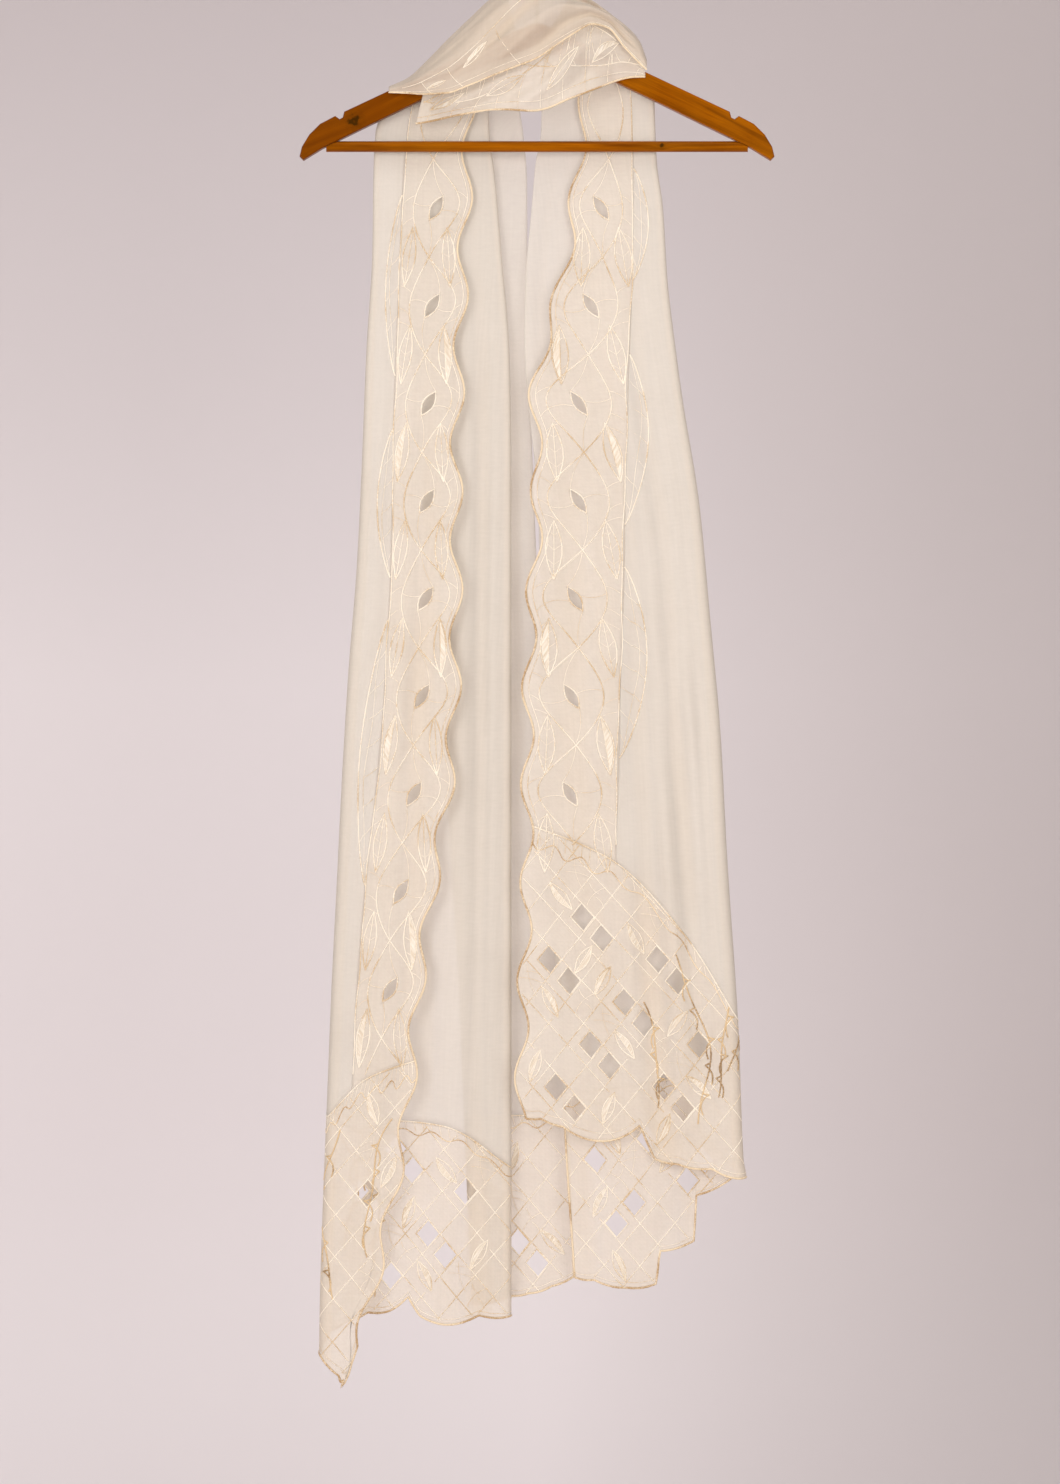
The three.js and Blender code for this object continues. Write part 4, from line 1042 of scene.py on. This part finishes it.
left_back = Region(left_inner_crown, left_rear, tail_top, rear_join, left.place)
sheet("left_back", left_back, 80, 120, [SILK])

# %% [markdown]
# ## The neck
# At the neck the whole width of the stole is gathered into one soft roll. Each upright section of it
# is a smooth line from the corded lower edge over the top. Drape folds run slantwise across the
# sections, from the high right to the low left, because the cloth is pulled round to the back there.

# %% A smooth line through the points of a section
def through(points, t):
    """Catmull-Rom with even knots by the square root of the distances, carried on past its ends."""
    knots = [0]
    for a, b in zip(points, points[1:]):
        knots.append(knots[-1] + math.dist(a, b) ** 0.5)
    first = [2 * p - q for p, q in zip(points[0], points[1])]
    last = [2 * p - q for p, q in zip(points[-1], points[-2])]
    line_points = [first, *points, last]
    times = [knots[0] - (knots[1] - knots[0]), *knots, 2 * knots[-1] - knots[-2]]
    count = len(points) - 1
    i = min(max(int(t * count), 0), count - 1)
    u = mix(times[i + 1], times[i + 2], t * count - i)
    p, q = line_points[i:i + 4], times[i:i + 4]

    def blend(a, b, ta, tb):
        k = (u - ta) / (tb - ta)
        return [x + (y - x) * k for x, y in zip(a, b)]

    a1, a2, a3 = blend(p[0], p[1], q[0], q[1]), blend(p[1], p[2], q[1], q[2]), blend(p[2], p[3], q[2], q[3])
    b1, b2 = blend(a1, a2, q[0], q[2]), blend(a2, a3, q[1], q[3])
    return blend(b1, b2, q[1], q[2])


# %% The cowl and its drape folds: x and share of height at both ends, width in shares, height
COWL_DRAPE = [
    (70, 0.66, -130, 0.20, 0.085, 8.0), (56, 0.54, -116, 0.30, 0.050, -5.4), (86, 0.40, -44, 0.08, 0.060, 6.0),
    (30, 0.70, -90, 0.50, 0.070, 5.0), (92, 0.24, 0, 0.10, 0.050, -4.0), (74, 0.48, -70, 0.16, 0.036, -3.6),
    (-12, 0.60, -124, 0.42, 0.045, -3.4), (96, 0.55, 40, 0.60, 0.060, 3.2), (64, 0.60, -40, 0.62, 0.020, -1.5),
    (88, 0.34, -96, 0.14, 0.018, 1.5), (40, 0.46, -128, 0.26, 0.018, 1.4),
]
COWL_TALL = 125
NECK_LEFT, NECK_RIGHT = -139, -139 + NECK_STEP * NECK_STEPS


def drape(folds, x, t, reach, sway):
    """How far slanting folds stand out. reach is how far they run past their ends, sway how much they bend."""
    out = 0
    for x0, t0, x1, t1, width, height in folds:
        u = (x0 - x) / (x0 - x1)
        if -reach < u < 1 + reach:
            near = (t - mix(t0, t1, u) - sway * math.sin(u * 7 + x0)) / width
            out += height * ease((u + reach) * 4) * ease((1 + reach - u) * 4) * math.exp(-near * near)
    return out


def cowl_fold(x, t):
    return drape(COWL_DRAPE, x, t, 0.15, 0.03)


def cowl_place(x, z):
    t = min(1, max(0, 1 + z / COWL_TALL))
    front, cord, crown, ridge = (NECK.at(name, x) for name in ("front", "cord", "crown", "ridge"))
    rise = crown - cord
    point = through([
        (x, front, cord),
        (x, front - 0.06 * rise, cord + 0.42 * rise),
        (x, mix(front, ridge, 0.34), cord + 0.86 * rise),
        (x, ridge, crown),
        (x, ridge + FLAP_BACK * 0.68, crown - FLAP_DROP * 0.28),
        (x, ridge + FLAP_BACK, crown - FLAP_DROP),
    ], t)
    calm = ease(t * 9) * ease((0.84 - t) * 7) * ease((x + 139) / 30) * ease((103 - x) / 22)
    point[1] -= 0.8 * calm * cowl_fold(x, t)
    point[2] += 0.35 * calm * cowl_fold(x, t) * ease((t - 0.3) * 3)
    return tuple(point)


def inner_stem(x):
    return -COWL_TALL * (1 - mix(0.14, 0.5, ease((x + 126) / 190))) + 3 * math.sin(x / 23)


cowl = Region(fixed(NECK_LEFT), fixed(NECK_RIGHT), fixed(0), fixed(-COWL_TALL), cowl_place)
cowl_lines = Drawing()
spans = [mix(NECK_LEFT, NECK_RIGHT, i / 110) for i in range(111)]
cowl_lines.edge([(x, -COWL_TALL) for x in spans], 1.15)
cowl_lines.vein([(x, -COWL_TALL + 4.5) for x in spans], 0.45)
cowl_lines.vein([(x, inner_stem(x)) for x in range(-126, 20, 4)], 0.6)
for x, lean in ((-108, 9), (-84, 15), (-40, 24)):
    cowl_lines.vein(line((x + lean, -COWL_TALL + 1), (x, inner_stem(x)), 4, 0.05), 0.6)
for x, up, long, turn in ((-58, 22, 24, -1.15), (-94, 11, 18, -1.35)):
    cowl_lines.leaf(x, -COWL_TALL + up, long, long * 0.28, turn, satin=-1, radius=0.5, veins=1)
# Painted shade: the cowl's colour darkens in the troughs of its drape folds.
dress("neck_cowl", "neck_cowl", cowl, 160, 80, [GATHERED, SATIN], cowl_lines, held="gathered",
      shade=lambda s, z: min(1, max(0, -cowl_fold(s, 1 + z / COWL_TALL)) / 9))

# %% The lace swag under the cowl
SWAG_TALL = 52
SWAG_LEFT, SWAG_RIGHT = (NECK_LEFT + step * NECK_STEP for step in SWAG_STEPS)
SWAG_DRAPE = [
    (-104, 0.12, -16, 0.52, 0.12, 3.2), (-70, 0.05, 34, 0.48, 0.09, -3.0), (-18, 0.10, 84, 0.72, 0.11, 3.6),
    (20, 0.08, 92, 0.40, 0.08, -2.6),
]
SWAG_PHASES = (0.4, 2.9)


def swag_place(s, z):
    left_end, right_end = ease((-94 - s) / 17), 8 * ease((s - 76) / 17)
    low, high = s - 3 * left_end + right_end, s + 7 * left_end + right_end
    rim = sum(NECK.at("rim", low + d) for d in (-10, -4, 4, 10)) / 4
    depth = NECK.at("swag", low)
    top = min(NECK.at("cord", high) + 14, NECK.at("crown", high) - 8)
    rise = top - rim
    bulge = 3 * ease((-depth - 7.1) / 12)
    t = min(1, max(0, 1 + z / SWAG_TALL))
    point = through([
        (low, depth, rim),
        (mix(low, high, 0.45), depth - bulge, rim + 0.45 * rise),
        (mix(low, high, 0.8), depth - bulge * 0.6, rim + 0.8 * rise),
        (high, depth, top),
    ], t)
    ripple = 1.0 * math.sin(s / 9.5 + 3 * t) + 0.6 * math.sin(s / 5.3 - 2 * t)
    point[1] -= drape(SWAG_DRAPE, s, t, 0.2, 0) * ease((s + 111) / 24) * ease((94 - s) / 24)
    point[1] += ripple * ease((s + 111) / 30) * ease((94 - s) / 30) * ease((1.05 - t) * 1.6)
    return tuple(point)


def swag_stem(x, phase):
    return x, -27 + 13 * math.sin(x / 33 + phase)


def on_swag(s, z):
    return SWAG_LEFT + 1 < s < SWAG_RIGHT - 1 and -SWAG_TALL + 1 < z < -1 and swag_lines.clear(s, z, 0.3)


def swag_bar(foot, head, bow):
    for run in runs_inside(line(foot, head, 3, bow), on_swag):
        swag_lines.vein(run, 0.5)


swag = Region(fixed(SWAG_LEFT), fixed(SWAG_RIGHT), fixed(0), fixed(-SWAG_TALL), swag_place)
swag_lines = Drawing()
spans = [mix(SWAG_LEFT, SWAG_RIGHT, i / 100) for i in range(101)]
swag_lines.edge([(x, -SWAG_TALL + 0.8) for x in spans], 1.3)
swag_lines.vein([(x, -SWAG_TALL + 6) for x in spans], 0.6)
for x, z, long, turn, side in ((-84, -36, 34, -1.3, 1), (-30, -34, 36, -1.25, 0), (24, -34, 34, -1.1, 0),
                               (64, -30, 30, -1.0, -1)):
    swag_lines.leaf(x, z, long, long * 0.27, turn, satin=side, radius=0.7, veins=2)
for phase in SWAG_PHASES:
    for run in runs_inside([swag_stem(x / 2, phase) for x in range(-222, 186, 5)], on_swag):
        swag_lines.cord(run, 0.75)
first_stem, second_stem = SWAG_PHASES
for k in range(10):
    x = SWAG_LEFT + 9 + k * 21
    swag_bar((x, -SWAG_TALL + 2), swag_stem(x + 9, first_stem), 0.08)
    swag_bar(swag_stem(x + 12, second_stem), swag_stem(x + 5, first_stem), 0.08)
    swag_bar(swag_stem(x + 4, second_stem), (x + 14, -2), 0.08)
for k in range(16):
    x = SWAG_LEFT + 8 + k * 12.4
    low, high = sorted(swag_stem(x, phase)[1] for phase in SWAG_PHASES)
    swag_bar((x, low), (x + 4, high), 0.06)
dress("neck_lace_swag", "neck_swag", swag, 120, 36, LACE, swag_lines, slot="lace", held="gathered", shade=fixed(0.25))

# %% [markdown]
# ## Over the arms
# Two short stretches lead from the neck back over the arms to the tails. From the front they are
# almost hidden. From behind they show how the gathered cloth fans out into the first layer of a tail.

# %% The shoulders
SHOULDER_TALL = 90


def shoulder_place(first, last, tail, layer, foot_from, foot_to):
    def place(s, z):
        a = (s - first) / (last - first)
        t = min(1, max(0, -z / SHOULDER_TALL))
        top = (s, NECK.at("ridge", s) + FLAP_BACK, NECK.at("crown", s) - FLAP_DROP - 0.4)
        foot_x = mix(foot_from, foot_to, a)
        foot_z = tail_top(foot_x, 0, 0) + 0.4
        foot = tail.place(tail.along(layer, foot_x, foot_z), foot_z)
        swell = tuple(mix(p, q, k) for p, q, k in zip(top, foot, (0.35, 0.75, 0.4)))
        point = through([top, swell, foot], t)
        calm = ease(t * 5) * ease((1 - t) * 5)
        point[1] += calm * (1.8 * math.sin(a * 21 + t) + 1.1 * math.sin(a * 37 - 2 * t))
        return tuple(point)

    return place


for side, tail, layer, foot_from, foot_to in (("left", left, 3, -126, -17), ("right", right, 1, 7, 104)):
    first, last = (NECK_LEFT + step * NECK_STEP for step in SHOULDER_STEPS[side])
    place = shoulder_place(first, last, tail, layer, foot_from, foot_to)
    area = Region(fixed(first), fixed(last), fixed(0), fixed(-SHOULDER_TALL), place)
    sheet(f"{side}_shoulder", area, 60, 40, [GATHERED], held="draped", shade=fixed(0.2))

# %% [markdown]
# ## The hanger
# The hanger is cut from one board and keeps its measured shape. Lacquered beech or pine shows long
# grain lines that follow each arm, a few small knots with darker rings, and a gloss that breaks up a
# little. The grain is drawn from the object's own coordinates, bent along the arms by the distance
# from the middle, so that no line runs out of the wood.

# %% Wood grain
def grain_group():
    inputs = [("Place", "Vector", None), ("Slope", "Float", 0.0), ("Knot", "Vector", None),
              ("Knot size", "Float", 0.009), ("Dark end", "Float", 0.0)]
    n, start, end = group("lacquered wood", inputs, [("Color", "Color"), ("Height", "Float"), ("Wear", "Float")])
    place = start["Place"]
    x, y, z = n.add("ShaderNodeSeparateXYZ", {0: place}).outputs
    level = n.plus(z, n.times(n.math("ABSOLUTE", x), start["Slope"]))
    away = n.add("ShaderNodeVectorMath", {0: place, 1: start["Knot"]}, operation="DISTANCE").outputs["Value"]
    ragged = n.times(n.math("SUBTRACT", n.noise(place, 150.0, 2.0), 0.5), 1.6)
    near = n.plus(n.math("DIVIDE", away, start["Knot size"]), ragged)
    bend = n.times(n.math("EXPONENT", n.times(near, -0.7)), 0.006)
    parts = {0: n.times(x, 0.05), 1: n.times(y, 0.6), 2: n.plus(level, bend)}
    along = n.add("ShaderNodeCombineXYZ", parts).outputs[0]
    broad, fine = n.noise(along, 170.0, 3.0, 0.6), n.noise(along, 1400.0, 2.0)
    cloud = n.noise(place, 16.0, 2.0)
    tone = n.mix(n.span(broad, 0.32, 0.68), (0.155, 0.034, 0.0002, 1), (0.385, 0.101, 0.0004, 1))
    ring = n.times(n.math("SINE", n.times(near, 9.0)), n.span(near, 0.4, 1.3, 0.25, 0.0))
    for share, color in (
        (n.times(n.span(fine, 0.45, 0.75), 0.35), (0.12, 0.03, 0.001, 1)),
        (n.times(n.span(cloud, 0.35, 0.7), 0.3), (0.40, 0.135, 0.003, 1)),
        # Painted shade: the left end of the arms is darkened where less light falls on it.
        (n.times(n.span(n.times(x, -1.0), 0.03, 0.15), start["Dark end"]), (0.12, 0.022, 0.0003, 1)),
        (n.times(n.plus(n.span(near, 0.3, 0.75, 1.0, 0.0), ring, True), 0.9), (0.022, 0.007, 0.0005, 1)),
    ):
        tone = n.mix(share, tone, color)
    n.feed(end, {"Color": tone, "Height": n.plus(n.times(fine, 0.6), broad), "Wear": n.span(cloud, 0.4, 0.65)})
    return n.tree


GRAIN = grain_group()


def wood_material(name, **settings):
    material, n, shader = principled(name)
    place = n.add("ShaderNodeTexCoord").outputs["Object"]
    grain = n.add("ShaderNodeGroup", {"Place": place, **settings}, node_tree=GRAIN).outputs
    n.feed(shader, {
        "Base Color": grain["Color"],
        "Normal": n.bump(grain["Height"], 0.15, 0.0006),
        "Roughness": n.span(grain["Wear"], 0, 1, 0.3, 0.42),
        "Specular IOR Level": 0.2, "Specular Tint": (1.0, 0.5, 0.06, 1),
    })
    return material


def steel_material():
    material, n, shader = principled("drawn steel wire")
    place = n.add("ShaderNodeTexCoord").outputs["Object"]
    scuffs, smears = n.noise(place, 500.0, 4.0), n.noise(place, 60.0, 2.0)
    n.feed(shader, {
        "Base Color": n.mix(n.span(smears, 0.35, 0.7), (0.72, 0.72, 0.71, 1), (0.56, 0.56, 0.55, 1)),
        "Normal": n.bump(scuffs, 0.1, 0.0003),
        "Roughness": n.span(scuffs, 0.3, 0.7, 0.2, 0.36),
        "Metallic": 1.0,
    })
    return material


FINISHES = {
    # The arms get painted shade on their left end.
    "hanger_arms": wood_material("lacquered wood, arms", **{
        "Slope": 0.47, "Knot": (-0.171, -0.006, -0.182), "Knot size": 0.0105, "Dark end": 0.72}),
    "trouser_bar": wood_material("lacquered wood, bar", **{"Knot": (0.117, -0.005, -0.2045), "Knot size": 0.005}),
    "hook": steel_material(),
}
for name, material in FINISHES.items():
    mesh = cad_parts[name].data
    for slot in range(len(mesh.materials)):
        mesh.materials[slot] = material
    print(name, "finished with", material.name)

# %% [markdown]
# ## The sheets and their cords
# Each sheet's sewn cords are looked up and made into a list; nothing further is done with them.

# %% Sheets
for obj, size, held, area in DECLARED:
    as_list(SEWN.get(obj.name, []))

# %% [markdown]
# ## Backdrop, light and camera
# The stole is seen against a plain paper backdrop under very soft light. Large area lights on both
# sides, a warm one low in front and one overhead leave only faint shadows. The camera looks straight
# at the stole's middle from far away, so that the upright lines stay parallel. The paper shows only
# its front, so a view from behind looks through it at the stole.

# %% Backdrop and floor in one sweep
FLOOR_Z, WALL_Y, BEND = -1.72, 1.2, 0.5
bm = bmesh.new()
path = [Vector((-3.2, -3.0, FLOOR_Z)), Vector((-3.2, WALL_Y - BEND, FLOOR_Z))]
for a in (k * math.pi / 16 for k in range(1, 9)):
    path.append(Vector((-3.2, WALL_Y - BEND + BEND * math.sin(a), FLOOR_Z + BEND - BEND * math.cos(a))))
path.append(Vector((-3.2, WALL_Y, 2.4)))
row = [bm.verts.new(p) for p in path]
edges = [bm.edges.new(pair) for pair in zip(row, row[1:])]
moved = bmesh.ops.extrude_edge_only(bm, edges=edges)["geom"]
bmesh.ops.translate(bm, verts=[g for g in moved if isinstance(g, bmesh.types.BMVert)], vec=(6.4, 0, 0))
bmesh.ops.reverse_faces(bm, faces=[f for f in bm.faces if f.normal.y > 0.1 or f.normal.z < -0.5])
mesh = bpy.data.meshes.new("backdrop")
bm.to_mesh(mesh)
bm.free()
mesh.polygons.foreach_set("use_smooth", [True] * len(mesh.polygons))
backdrop = put("backdrop", mesh)
paper, n, shader = principled("backdrop paper")
place = n.add("ShaderNodeTexCoord").outputs["Object"]
x, _, z = n.add("ShaderNodeSeparateXYZ", {0: place}).outputs
tone = n.mix(n.span(n.noise(place, 0.9, 1.0), 0.3, 0.7), (0.81, 0.75, 0.76, 1), (0.86, 0.80, 0.81, 1))
# Painted shade: the paper is darkened towards the top and towards the right, where less light falls.
tone = n.mix(n.span(z, -0.7, 0.3), tone, (0.54, 0.48, 0.485, 1))
tone = n.mix(n.times(n.span(x, 0.0, 0.7), 0.68), tone, (0.50, 0.445, 0.44, 1))
n.feed(shader, {"Base Color": tone, "Roughness": 0.95})
behind = n.add("ShaderNodeNewGeometry").outputs["Backfacing"]
clear = n.add("ShaderNodeBsdfTransparent").outputs[0]
one_sided = n.add("ShaderNodeMixShader", {0: behind, 1: shader.outputs[0], 2: clear}).outputs[0]
n.feed(paper.node_tree.nodes["Material Output"], {"Surface": one_sided})
mesh.materials.append(paper)


# %% Lights
def area_light(name, place, target, size, power, color):
    light = bpy.data.lights.new(name, "AREA")
    light.shape, light.size, light.energy, light.color = "SQUARE", size, power, color
    obj = put(name, light)
    obj.location = place
    obj.rotation_euler = (Vector(target) - Vector(place)).to_track_quat("-Z", "Y").to_euler()


middle = (0, 0, -0.75)
area_light("left softbox", (-1.7, -3.2, -0.05), middle, 1.6, 49, (1.0, 0.985, 0.965))
area_light("right softbox", (1.6, -3.3, -0.4), middle, 1.8, 38, (1.0, 0.975, 0.95))
area_light("warm fill", (0.4, -3.4, -1.5), middle, 1.6, 11, (1.0, 0.86, 0.72))
area_light("overhead", (0.0, -1.2, 1.9), (0, 0.2, -0.7), 1.6, 14, (1.0, 0.99, 0.98))
world = bpy.data.worlds.new("studio")
world.use_nodes = True
Nodes(world.node_tree).feed(world.node_tree.nodes["Background"], {"Color": (0.95, 0.915, 0.915, 1), "Strength": 0.5})
bpy.context.scene.world = world

# %% Camera
bpy.context.scene.view_settings.view_transform = "Standard"
camera = bpy.data.cameras.new("camera")
camera.sensor_width, camera.lens, camera.clip_start = 36, 108.4, 0.05
eye = put("camera", camera)
eye.location = (-0.0066, -4.2, -0.765)
eye.rotation_euler = (math.pi / 2, 0, 0)
bpy.context.scene.camera = eye
